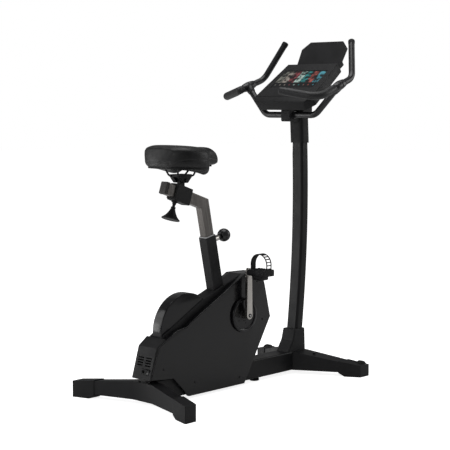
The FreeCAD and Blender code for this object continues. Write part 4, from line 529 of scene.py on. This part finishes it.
SOFT_EDGES = {
    "rear_stabiliser": 0.006, "front_stabiliser": 0.006, "rear_feet": 0.003, "front_feet": 0.003,
    "mast_boot": 0.002, "neck_sleeve": 0.0015, "handlebar_clamp": 0.003, "console_back_shell": 0.003,
    "console_bezel": 0.0009, "media_rack": 0.0018, "spine_cover": 0.0015, "tail_cover": 0.0015,
    "seat_tube": 0.003, "seat_tube_bush": 0.001, "seat_post": 0.0015, "post_end_cap": 0.002,
    "saddle_carriage": 0.002, "saddle_clamp": 0.002, "power_inlet": 0.0006, "power_rocker": 0.0006,
    "crank_arms": 0.0045, "left_side_cover": 0.002, "right_side_cover": 0.002, "drum_cover": 0.0015,
}
for node, width in SOFT_EDGES.items():
    softened(node, width)


# %% [markdown]
# ## The saddle
# A comfort saddle is foam on a plastic pan under a stretched cover. It is broad and flat-topped
# at the rear, dips before the nose, droops at the tip, and its side wings hang lower than the
# middle. The shape starts as a finely divided cube whose points are moved to the saddle's width,
# top and underside at their place along it. A cloth simulation with pressure then lets the cover
# bulge over the foam, and capping the movement keeps it a saddle.

# %% Shape of the saddle along its length
REAR, NOSE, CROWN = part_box("saddle_pad")[0].x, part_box("saddle_pad")[1].x - 0.006, 0.929
HALF_WIDTHS = [(0.0, 0.066), (0.008, 0.086), (0.022, 0.103), (0.050, 0.118), (0.090, 0.1255),
               (0.125, 0.1235), (0.147, 0.114), (0.166, 0.090), (0.186, 0.063), (0.212, 0.047),
               (0.245, 0.040), (0.268, 0.034), (0.284, 0.024), (0.294, 0.011)]
TOPS = [(0.0, -0.010), (0.012, -0.003), (0.035, 0.0), (0.100, -0.003), (0.145, -0.008), (0.190, -0.012),
        (0.225, -0.011), (0.248, -0.015), (0.268, -0.025), (0.284, -0.038), (0.294, -0.050)]
EDGE_BOTTOMS = [(0.0, -0.073), (0.015, -0.076), (0.055, -0.080), (0.100, -0.090), (0.132, -0.098),
                (0.156, -0.106), (0.166, -0.104), (0.176, -0.084), (0.190, -0.070), (0.225, -0.068),
                (0.275, -0.070), (0.294, -0.066)]
SQUARENESS = 5.5


def along(stations, place):
    """Reads a value at a place, on straight lines between (place, value) stations."""
    for (left, before), (right, after) in zip(stations, stations[1:]):
        if place <= right:
            share = (place - left) / (right - left)
            return before + (after - before) * share
    return stations[-1][1]


def smooth_along(stations, place, reach=0.008):
    """The same curve with its corners averaged away."""
    inside = (max(0.0, place - reach), place, min(stations[-1][0], place + reach))
    return sum(along(stations, at) for at in inside) / len(inside)


def saddle_point(point):
    """Moves a point of a two-unit cube on to the saddle."""
    edge = max(abs(point.y), abs(point.z))
    spread = (abs(point.y) ** SQUARENESS + abs(point.z) ** SQUARENESS) ** (1 / SQUARENESS)
    rounded = 1.0 / spread if edge > 0.001 else 1.0
    side, rise = point.y * rounded * edge, point.z * rounded * edge
    place = (point.x + 1.0) / 2 * (NOSE - REAR)
    half = smooth_along(HALF_WIDTHS, place)
    top = CROWN + smooth_along(TOPS, place)
    low_edge = CROWN + smooth_along(EDGE_BOTTOMS, place)
    hang = min(1.0, max(0.0, (abs(side) - 0.42) / 0.3))
    middle_low = max(low_edge, CROWN - 0.080)
    bottom = middle_low + (low_edge - middle_low) * hang * hang * (3 - 2 * hang)
    height = bottom + (top - bottom) * (rise + 1) / 2
    crown = 0.004 * (1 - side * side) * max(0.0, rise)
    tuck = 1.0 - 0.03 * max(0.0, -rise)
    ends = 0.005 * point.x * abs(point.x) ** 7 * (1 - side * side)
    return Vector((REAR + place + ends, side * half * tuck, height + crown - 0.003))


# %% The saddle's cushion
def relax(bm):
    """Evens a mesh out with three rounds of smoothing."""
    for _ in range(3):
        bmesh.ops.smooth_vert(bm, verts=bm.verts, factor=0.5, use_axis_x=True, use_axis_y=True,
                              use_axis_z=True)


def saddle_shape():
    """The whole saddle, before the cloth fills it."""
    bm = bmesh.new()
    bmesh.ops.create_cube(bm, size=2.0)
    bmesh.ops.subdivide_edges(bm, edges=bm.edges, cuts=39, use_grid_fill=True)
    for vert in bm.verts:
        vert.co = saddle_point(vert.co)
    relax(bm)
    return bm


def apply_modifiers(piece):
    """Bakes a piece's modifiers into its mesh."""
    graph = bpy.context.evaluated_depsgraph_get()
    baked = bpy.data.meshes.new_from_object(piece.evaluated_get(graph), depsgraph=graph)
    piece.modifiers.clear()
    piece.data = baked


CLOTH_PRESSURE, CLOTH_STEPS = 4.0, 20


def puff(piece, voxel, cap):
    """Remeshes a cushion evenly, lets cloth pressure fill it, and caps how far it moved."""
    remesh = piece.modifiers.new("even", "REMESH")
    remesh.mode, remesh.voxel_size = "VOXEL", voxel
    apply_modifiers(piece)
    before = [vert.co.copy() for vert in piece.data.vertices]
    cloth = piece.modifiers.new("cover", "CLOTH")
    cloth.settings.use_pressure = True
    cloth.settings.uniform_pressure_force = CLOTH_PRESSURE
    cloth.settings.effector_weights.gravity = 0.0
    cloth.settings.tension_stiffness = 30.0
    cloth.settings.bending_stiffness = 2.0
    for step in range(1, CLOTH_STEPS + 1):
        bpy.context.scene.frame_set(step)
    apply_modifiers(piece)
    bpy.context.scene.frame_set(1)
    for vert, start in zip(piece.data.vertices, before):
        moved = vert.co - start
        if moved.length > cap:
            vert.co = start + moved.normalized() * cap


cushion = finish_piece("saddle_cushion", saddle_shape(), "saddle", leatherette, crease=180.0)
puff(cushion, voxel=0.004, cap=0.003)

bm = bmesh.new()
bm.from_mesh(cushion.data)
relax(bm)
bmesh.ops.subdivide_edges(bm, edges=bm.edges, cuts=1, use_grid_fill=True)

# %% [markdown]
# The cover has one sewn seam: it runs round the sides where the top panel meets the skirt. It
# is sunk after the simulation, as a narrow groove at an even distance under the top's edge.

# %% The saddle's seam
SEAM_DROP, SEAM_WIDE, SEAM_DEEP = 0.050, 0.0026, 0.0012
bm.normal_update()
for vert in bm.verts:
    place = min(max(vert.co.x - REAR, 0.0), NOSE - REAR)
    level = CROWN + smooth_along(TOPS, place) - SEAM_DROP * (1.0 - 0.35 * place / (NOSE - REAR))
    away = abs(vert.co.z - level) / SEAM_WIDE
    if away < 1.0 and abs(vert.normal.z) < 0.75:
        vert.co -= vert.normal * SEAM_DEEP * (1.0 - away * away)
bm.to_mesh(cushion.data)
bm.free()
cushion.data.shade_smooth()
cushion.data.materials.clear()
cushion.data.materials.append(leatherette)
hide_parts("saddle_pad")
print("saddle", len(cushion.data.polygons), "faces")

# %% [markdown]
# Under the cushion sits the pan, a moulded plate that the rails plug into. Its outline is the
# cushion's own: a level cut through the cushion gives a loop, which is filled, inset and given
# a thickness. The cut lies close to the flat underside, so the loop and its inset are ragged,
# and they change with small changes in the cushion. An outline drawn from the saddle's width
# curve would be the sounder way.

# %% The saddle's pan
PAN_LEVEL, PAN_INSET, PAN_THICK = 0.8540, 0.034, 0.006
bm = bmesh.new()
bm.from_mesh(cushion.data)
cut = bmesh.ops.bisect_plane(bm, geom=bm.verts[:] + bm.edges[:] + bm.faces[:], plane_co=(0, 0, PAN_LEVEL),
                             plane_no=(0, 0, 1), clear_outer=True, clear_inner=True)
rim = [item for item in cut["geom_cut"] if isinstance(item, bmesh.types.BMEdge)]
plate = bmesh.ops.contextual_create(bm, geom=rim)["faces"]
bmesh.ops.inset_region(bm, faces=plate, thickness=PAN_INSET, use_even_offset=True)
outer = [face for face in bm.faces if face not in plate]
bmesh.ops.delete(bm, geom=outer, context="FACES")
floor_faces = bmesh.ops.extrude_face_region(bm, geom=bm.faces[:])["geom"]
lowered = [item for item in floor_faces if isinstance(item, bmesh.types.BMVert)]
bmesh.ops.translate(bm, vec=(0, 0, -PAN_THICK), verts=lowered)
finish_piece("saddle_pan", bm, "saddle", grained_plastic)


# %% [markdown]
# ## The foam grips
# Each grip is a foam tube pushed over the bar and round its bend, with a closed, rounded end. It
# is a curve with the bar's own bend, given a round section, so that it follows the bar exactly.

# %% Bent tubes
def bent_tube(points, radius, bend):
    """A round tube along straight runs joined by arcs of one bend radius, as a bmesh."""
    curve = bpy.data.curves.new("run", "CURVE")
    curve.dimensions, curve.bevel_depth, curve.bevel_resolution = "3D", radius, 10
    curve.resolution_u, curve.use_fill_caps = 16, True
    spots = [(points[0], points[0], points[0])]
    for before, corner, after in zip(points, points[1:], points[2:]):
        back, ahead = (before - corner).normalized(), (after - corner).normalized()
        turn = math.pi - back.angle(ahead)
        reach, handle = bend * math.tan(turn / 2), 4 / 3 * math.tan(turn / 4) * bend
        first, last = corner + back * reach, corner + ahead * reach
        spots.append((first, first, first - back * handle))
        spots.append((last - ahead * handle, last, last))
    spots.append((points[-1], points[-1], points[-1]))
    line = curve.splines.new("BEZIER")
    line.bezier_points.add(len(spots) - 1)
    for knot, (arriving, at, leaving) in zip(line.bezier_points, spots):
        knot.handle_left_type = knot.handle_right_type = "FREE"
        knot.handle_left, knot.co, knot.handle_right = arriving, at, leaving
    holder = bpy.data.objects.new("run", curve)
    bpy.context.scene.collection.objects.link(holder)
    mesh = bpy.data.meshes.new_from_object(holder)
    bm = bmesh.new()
    bm.from_mesh(mesh)
    bpy.data.objects.remove(holder)
    bpy.data.meshes.remove(mesh)
    return bm


# %% Grips on both sides
GRIP_END, GRIP_BEND = Vector((0.144, 0.106, 1.130)), Vector((0.204, 0.246, 1.104))
HORN_BEND, HORN_TIP = Vector((0.426, 0.229, 1.180)), Vector((0.494, 0.172, 1.326))
JUNCTION = Vector((0.338, 0.236, 1.150))
LOW_BEND = Vector((0.326, 0.128, 1.036))
FOAM_RADIUS, FOAM_BEND, FOAM_SHARE = 0.0158, 0.060, 0.42
TAPER_LONG, TAPER = 0.030, 0.12


def both_sides(bm):
    """Adds the mirror image across the middle of the bike."""
    copy = bm.copy()
    bmesh.ops.scale(copy, vec=(1, -1, 1), verts=copy.verts)
    bmesh.ops.reverse_faces(copy, faces=copy.faces)
    return add_to(bm, copy)


out = (GRIP_END - GRIP_BEND).normalized()
run = HORN_BEND - GRIP_BEND
stop = GRIP_BEND + run * FOAM_SHARE
foam = bent_tube([GRIP_END, GRIP_BEND, stop], FOAM_RADIUS, FOAM_BEND)
end_profile = [(FOAM_RADIUS, 0.0), (0.0152, 0.003), (0.0134, 0.0055), (0.0095, 0.0077),
               (0.0045, 0.0089), (0.0, 0.0092)]
shoulder = [(0.0127, 0.012), (0.0136, 0.010), (0.0150, 0.0055), (FOAM_RADIUS, 0.0)]
foam = turned(end_profile, GRIP_END, out, 44, foam)
foam = turned(shoulder, stop, run, 44, foam)
for vert in foam.verts:
    back = (vert.co - GRIP_END).dot(-out)
    if back < TAPER_LONG and vert.co.y < GRIP_BEND.y - 0.08:
        axis = GRIP_END - out * back
        vert.co = axis + (vert.co - axis) * (1.0 - TAPER * (1.0 - max(back, 0.0) / TAPER_LONG))
grips = finish_piece("foam_grips", both_sides(foam), "handlebar", grip_foam, crease=60.0)
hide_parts("hand_grips")

# %% [markdown]
# Where the lower bar meets the upper one, two moulded halves clip round the joint. Each is a
# bulge turned about the upper bar, with a sleeve down the lower bar, and a fine parting line.

# %% Joints and tips of the bar
BULGE = [(0.0127, -0.034), (0.0150, -0.031), (0.0168, -0.020), (0.0182, -0.008), (0.0185, -0.0006),
         (0.0179, 0.0), (0.0185, 0.0006), (0.0182, 0.008), (0.0168, 0.020), (0.0150, 0.031), (0.0127, 0.034)]
SLEEVE = [(0.0178, 0.004), (0.0168, 0.018), (0.0150, 0.030), (0.0140, 0.034), (0.0127, 0.0345)]
bulge = turned(BULGE, JUNCTION, run, 40)
bulge = turned(SLEEVE, JUNCTION, LOW_BEND - JUNCTION, 40, bulge)
finish_piece("bar_joints", both_sides(bulge), "handlebar", bar_paint, crease=50.0)

TIP = [(0.0127, -0.012), (0.0132, -0.0118), (0.0133, 0.0), (0.0126, 0.0028), (0.0105, 0.0050),
       (0.006, 0.0064), (0.0, 0.0068)]
tip = turned(TIP, HORN_TIP, HORN_TIP - HORN_BEND, 36)
finish_piece("horn_tips", both_sides(tip), "handlebar", grained_plastic, crease=50.0)


# %% [markdown]
# ## The console's chin
# Below its lower edge the console's face runs on to a narrower chin. It is a block in the face's
# own plane, drawn in towards its free end, and then tipped to the console's slope.

# %% Chin
DIAL_UP, CHIN_LONG, CHIN_HALF, CHIN_DEEP, CHIN_NARROW = 0.034, 0.035, 0.1465, 0.043, 0.80
dial_at = Vector(joints["dial_turn"]["pos_m"])
up_slope = Vector((math.cos(slope), 0.0, math.sin(slope)))
chin = block((-CHIN_LONG, -CHIN_HALF, -CHIN_DEEP), (0.002, CHIN_HALF, -0.0008), 0.004)
for vert in chin.verts:
    inwards = min(1.0, max(0.0, -vert.co.x / CHIN_LONG))
    deeper = min(1.0, max(0.0, -vert.co.z / CHIN_DEEP))
    vert.co.y *= 1.0 - (1.0 - CHIN_NARROW) * inwards * (0.55 + 0.45 * deeper)
chin_place = Matrix.Translation(dial_at - up_slope * DIAL_UP) @ Matrix.Rotation(-slope, 4, "Y")
bmesh.ops.transform(chin, matrix=chin_place, verts=chin.verts)
finish_piece("console_chin", chin, "frame", grained_plastic)

# %% [markdown]
# ## Seals on the seat post's arm
# A thin black gasket closes the gap where the post's arm enters the carriage from the rear, and a
# thin seam shows where the end cap meets the arm. Both are flat frames round the arm, drawn at the
# origin and carried to their place along it.

# %% Gasket and seam
lock_at = Vector(joints["carriage_lock_turn"]["pos_m"])
arm_axis = Vector(joints["saddle_fore_aft"]["axis"])
arm_turn = math.atan2(arm_axis.z, arm_axis.x)


def arm_frame(name, forward, thick, half_wide, half_deep, wall, body):
    """A flat ring round the arm, forward of the lock knob's axis by that much."""
    ring = bmesh.new()
    bmesh.ops.create_cube(ring, size=1.0)
    bmesh.ops.scale(ring, vec=(thick, 2 * half_wide, 2 * half_deep), verts=ring.verts)
    ends = [face for face in ring.faces if abs(face.normal.x) > 0.9]
    for face in ends:
        bmesh.ops.inset_region(ring, faces=[face], thickness=wall, use_even_offset=True)
    rims = [edge for face in ends for edge in face.edges]
    bmesh.ops.delete(ring, geom=ends, context="FACES_ONLY")
    bmesh.ops.bridge_loops(ring, edges=rims)
    place = Matrix.Translation(lock_at + arm_axis * forward) @ Matrix.Rotation(-arm_turn, 4, "Y")
    bmesh.ops.transform(ring, matrix=place, verts=ring.verts)
    finish_piece(name, ring, body, tyre_rubber)


POST_CORNER = 0.0070
arm_end = (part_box("seat_post")[0].x + POST_CORNER - lock_at.x) / arm_axis.x
arm_frame("carriage_gasket", forward=-0.0232, thick=0.0040, half_wide=0.0206, half_deep=0.0261,
          wall=0.0038, body="seat_carriage")
arm_frame("cap_seam", forward=arm_end, thick=0.0014, half_wide=0.0173, half_deep=0.0228,
          wall=0.0011, body="seat_post")
print("arm end", round(arm_end, 4), "m from the lock knob's axis")

# %% [markdown]
# ## Knobs
# The jog dial has a knurled rim, so that damp fingers can turn it. The knob under the saddle
# carriage is a bell with a flat flange, turned in one piece.

# %% Dial rim
TEETH, TOOTH_FROM, TOOTH_SHRINK = 96, 0.0172, 0.965
RIM = [(0.0155, 0.0006), (0.0176, 0.0006), (0.0180, 0.0012), (0.0180, 0.0075),
       (0.0174, 0.0086), (0.0155, 0.0094)]
rim = turned(RIM, (0, 0, 0), (0, 0, 1), TEETH)
for vert in rim.verts:
    tooth = int(round(math.atan2(vert.co.y, vert.co.x) / math.tau * TEETH)) % 2
    if tooth and vert.co.xy.length > TOOTH_FROM:
        vert.co.xy *= TOOTH_SHRINK
bmesh.ops.transform(rim, matrix=axis_matrix(dial_at, dial_axis), verts=rim.verts)
finish_piece("dial_rim", rim, "dial", grained_plastic, crease=25.0)

# %% Saddle carriage knob
lock_axis = Vector(joints["carriage_lock_turn"]["axis"])
BELL = [(0.0, -0.0995), (0.020, -0.0995), (0.030, -0.1010), (0.0335, -0.1005), (0.0340, -0.0985),
        (0.0336, -0.0965), (0.0290, -0.0930), (0.0220, -0.0860), (0.0160, -0.0770),
        (0.0115, -0.0680), (0.0090, -0.0610), (0.0080, -0.0575), (0.0092, -0.0565),
        (0.0096, -0.0550), (0.0092, -0.0535), (0.0066, -0.0525), (0.0, -0.0525)]
bell = turned(BELL, lock_at, lock_axis, 56)
knob = finish_piece("bell_knob", bell, "carriage_lock", grained_plastic, crease=28.0)
STUD = [(0.0, -0.0535), (0.0055, -0.0535), (0.0055, -0.0440), (0.0074, -0.0435), (0.0078, -0.0250),
        (0.0, -0.0250)]
stud = turned(STUD, lock_at, lock_axis, 28)
finish_piece("bell_stud", stud, "carriage_lock", black_screw)
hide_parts("carriage_knob")

# %% [markdown]
# The pop pin's ball sits on a bright sleeve that is pushed over the collar on the seat tube. The
# sleeve is placed from the ball: back along the pin's own axis.

# %% Pop pin's sleeve
BALL_RADIUS = 0.025
pin_axis = Vector(joints["seat_pin_pull"]["axis"])
ball_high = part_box("pin_knob")[1]
ball_at = Vector((ball_high.x - BALL_RADIUS, 0.0, ball_high.z - BALL_RADIUS))
SLEEVE_RING = [(0.0101, -0.0560), (0.0112, -0.0558), (0.0112, -0.0290), (0.0106, -0.0282),
               (0.0101, -0.0282), (0.0101, -0.0560)]
sleeve = turned(SLEEVE_RING, ball_at, pin_axis, 40)
finish_piece("pin_sleeve", sleeve, "frame", bright_arm, crease=40.0)

# %% [markdown]
# ## Crank covers and bolts
# The disc behind each crank has a raised ring near its edge, a dished face and a hub. It hides
# the opening in the cover, and turns with the crank.

# %% Crank discs
BOLTS, BOLT_CIRCLE, BOLT_OUT = 5, 0.034, 0.0548
crank_at = Vector(joints["crank_spin"]["pos_m"])
DISC = [(0.0, 0.0580), (0.0215, 0.0580), (0.0225, 0.0570), (0.0240, 0.0555), (0.0420, 0.0545),
        (0.0540, 0.0555), (0.0556, 0.0568), (0.0565, 0.0590), (0.0580, 0.0598),
        (0.0640, 0.0598), (0.0662, 0.0588), (0.0670, 0.0565), (0.0670, 0.0520), (0.0, 0.0520)]
BOLT_HEAD = [(0.0036, -0.0010), (0.0036, 0.0010), (0.0030, 0.0016), (0.0, 0.0016)]
discs = turned(DISC, crank_at, (0, 1, 0), 72)
for step in range(BOLTS):
    angle = math.tau * step / BOLTS
    spot = crank_at + Vector((BOLT_CIRCLE * math.cos(angle), BOLT_OUT, BOLT_CIRCLE * math.sin(angle)))
    discs = turned(BOLT_HEAD, spot, (0, 1, 0), 16, discs)
covers = finish_piece("crank_covers", both_sides(discs), "crank", gloss_shell, crease=28.0)
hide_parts("crank_discs")

CAP = [(0.0070, 0.0840), (0.0078, 0.0845), (0.0078, 0.0862), (0.0070, 0.0868), (0.0040, 0.0868),
       (0.0038, 0.0858), (0.0, 0.0858)]
caps = both_sides(turned(CAP, crank_at, (0, 1, 0), 32))
finish_piece("crank_caps", caps, "crank", black_screw, crease=28.0)


# %% [markdown]
# ## Pedals
# Each pedal is a moulded platform on a spindle: two treaded side bars, a barrel round the
# spindle, a block at each end, and a weight below that keeps the strap on top.

# %% Pedal bodies
def pedal_shape(at):
    """A pedal on the left side, with its spindle through at, running out along +Y from the crank."""
    x, z = at.x, at.z
    inner, outer = 0.0905, 0.1800
    bm = turned([(0.0, 0.0), (0.0115, 0.0), (0.0115, outer - inner - 0.006), (0.0, outer - inner - 0.006)],
                (x, inner, z), (0, 1, 0), 32)
    for side in (-1, 1):
        near, far = sorted((side * 0.018, side * 0.031))
        bm = block((x + near, inner + 0.006, z - 0.010), (x + far, outer - 0.008, z + 0.010), 0.003, bm)
        for step in range(6):
            place = inner + 0.014 + step * 0.0118
            bm = block((x + near + 0.0008, place, z - 0.0125), (x + far - 0.0008, place + 0.0055, z + 0.0125),
                       0.0011, bm, 2)
    bm = block((x - 0.029, inner, z - 0.009), (x + 0.029, inner + 0.010, z + 0.010), 0.003, bm)
    bm = block((x - 0.031, outer - 0.013, z - 0.013), (x + 0.031, outer, z + 0.012), 0.0035, bm)
    bm = block((x - 0.0195, inner + 0.020, z - 0.004), (x + 0.0195, outer - 0.020, z + 0.004), 0.0015, bm)
    return block((x - 0.022, inner + 0.020, z - 0.029), (x + 0.022, outer - 0.020, z - 0.006), 0.006, bm)


def to_right(bm):
    """Mirrors a left-hand shape to the right-hand side."""
    bmesh.ops.scale(bm, vec=(1, -1, 1), verts=bm.verts)
    bmesh.ops.reverse_faces(bm, faces=bm.faces)
    return bm


left_at = Vector(joints["left_pedal_spin"]["pos_m"])
right_at = Vector(joints["right_pedal_spin"]["pos_m"])
left_body = finish_piece("left_pedal_body", pedal_shape(left_at), "left_pedal", grained_plastic)
right_body = finish_piece("right_pedal_body", to_right(pedal_shape(right_at)), "right_pedal", grained_plastic)
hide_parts("left_pedal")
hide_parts("right_pedal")


# %% [markdown]
# ## Foot straps
# A strap is a flat moulded band with a row of slots, like a ladder, on its outer side, so that
# it can be hooked at several lengths. It starts as a flat grid, loses the faces of its slots, is
# bent round the foot's path, and last gets its thickness.

# %% Strap shape
STRAP_THICK, STRAP_HALF, LENGTHWISE, SIDEWAYS = 0.0028, 0.013, 104, 8
SLOTS_FROM, SLOTS_TO, SLOT_PITCH, SLOT_WIDE = 52, 94, 7, 0.75


def strap_path(share, inner, outer, low, spring):
    """Point (y, z) and outward direction of the strap's inner face, from the inner leg to the outer leg."""
    radius = (outer - inner) / 2
    legs = (spring - low[0], math.pi * radius, spring - low[1])
    length = share * sum(legs)
    if length < legs[0]:
        return (inner, low[0] + length), (-1.0, 0.0)
    if length < legs[0] + legs[1]:
        angle = math.pi - (length - legs[0]) / radius
        outward = (math.cos(angle), math.sin(angle))
        return ((inner + outer) / 2 + radius * outward[0], spring + radius * outward[1]), outward
    return (outer, spring - (length - legs[0] - legs[1])), (1.0, 0.0)


def strap_shape(at):
    """The left pedal's strap over a spindle at that point."""
    bm = bmesh.new()
    bmesh.ops.create_grid(bm, x_segments=LENGTHWISE, y_segments=SIDEWAYS, size=1.0)
    slots = []
    for face in bm.faces:
        middle = face.calc_center_median()
        step = int((middle.x + 1) / 2 * LENGTHWISE)
        in_slot = 0 < step % SLOT_PITCH < SLOT_PITCH - 1 and abs(middle.y) < SLOT_WIDE
        if SLOTS_FROM <= step < SLOTS_TO and in_slot:
            slots.append(face)
    bmesh.ops.delete(bm, geom=slots, context="FACES")
    inner, outer = 0.0985, 0.1802
    spring = at.z + 0.0305
    low = (at.z + 0.0105, at.z - 0.0065)
    for vert in bm.verts:
        share = (vert.co.x + 1) / 2
        (y, z), outward = strap_path(share, inner, outer, low, spring)
        flare = 1.0 + 0.10 * math.sin(math.pi * share)
        vert.co = Vector((at.x + vert.co.y * STRAP_HALF * flare, y, z))
    bmesh.ops.recalc_face_normals(bm, faces=bm.faces)
    bmesh.ops.solidify(bm, geom=bm.faces[:], thickness=-STRAP_THICK)
    return bm


left_strap = finish_piece("left_strap", strap_shape(left_at), "left_pedal", tyre_rubber)
right_strap = finish_piece("right_strap", to_right(strap_shape(right_at)), "right_pedal", tyre_rubber)
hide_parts("left_pedal_strap")
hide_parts("right_pedal_strap")
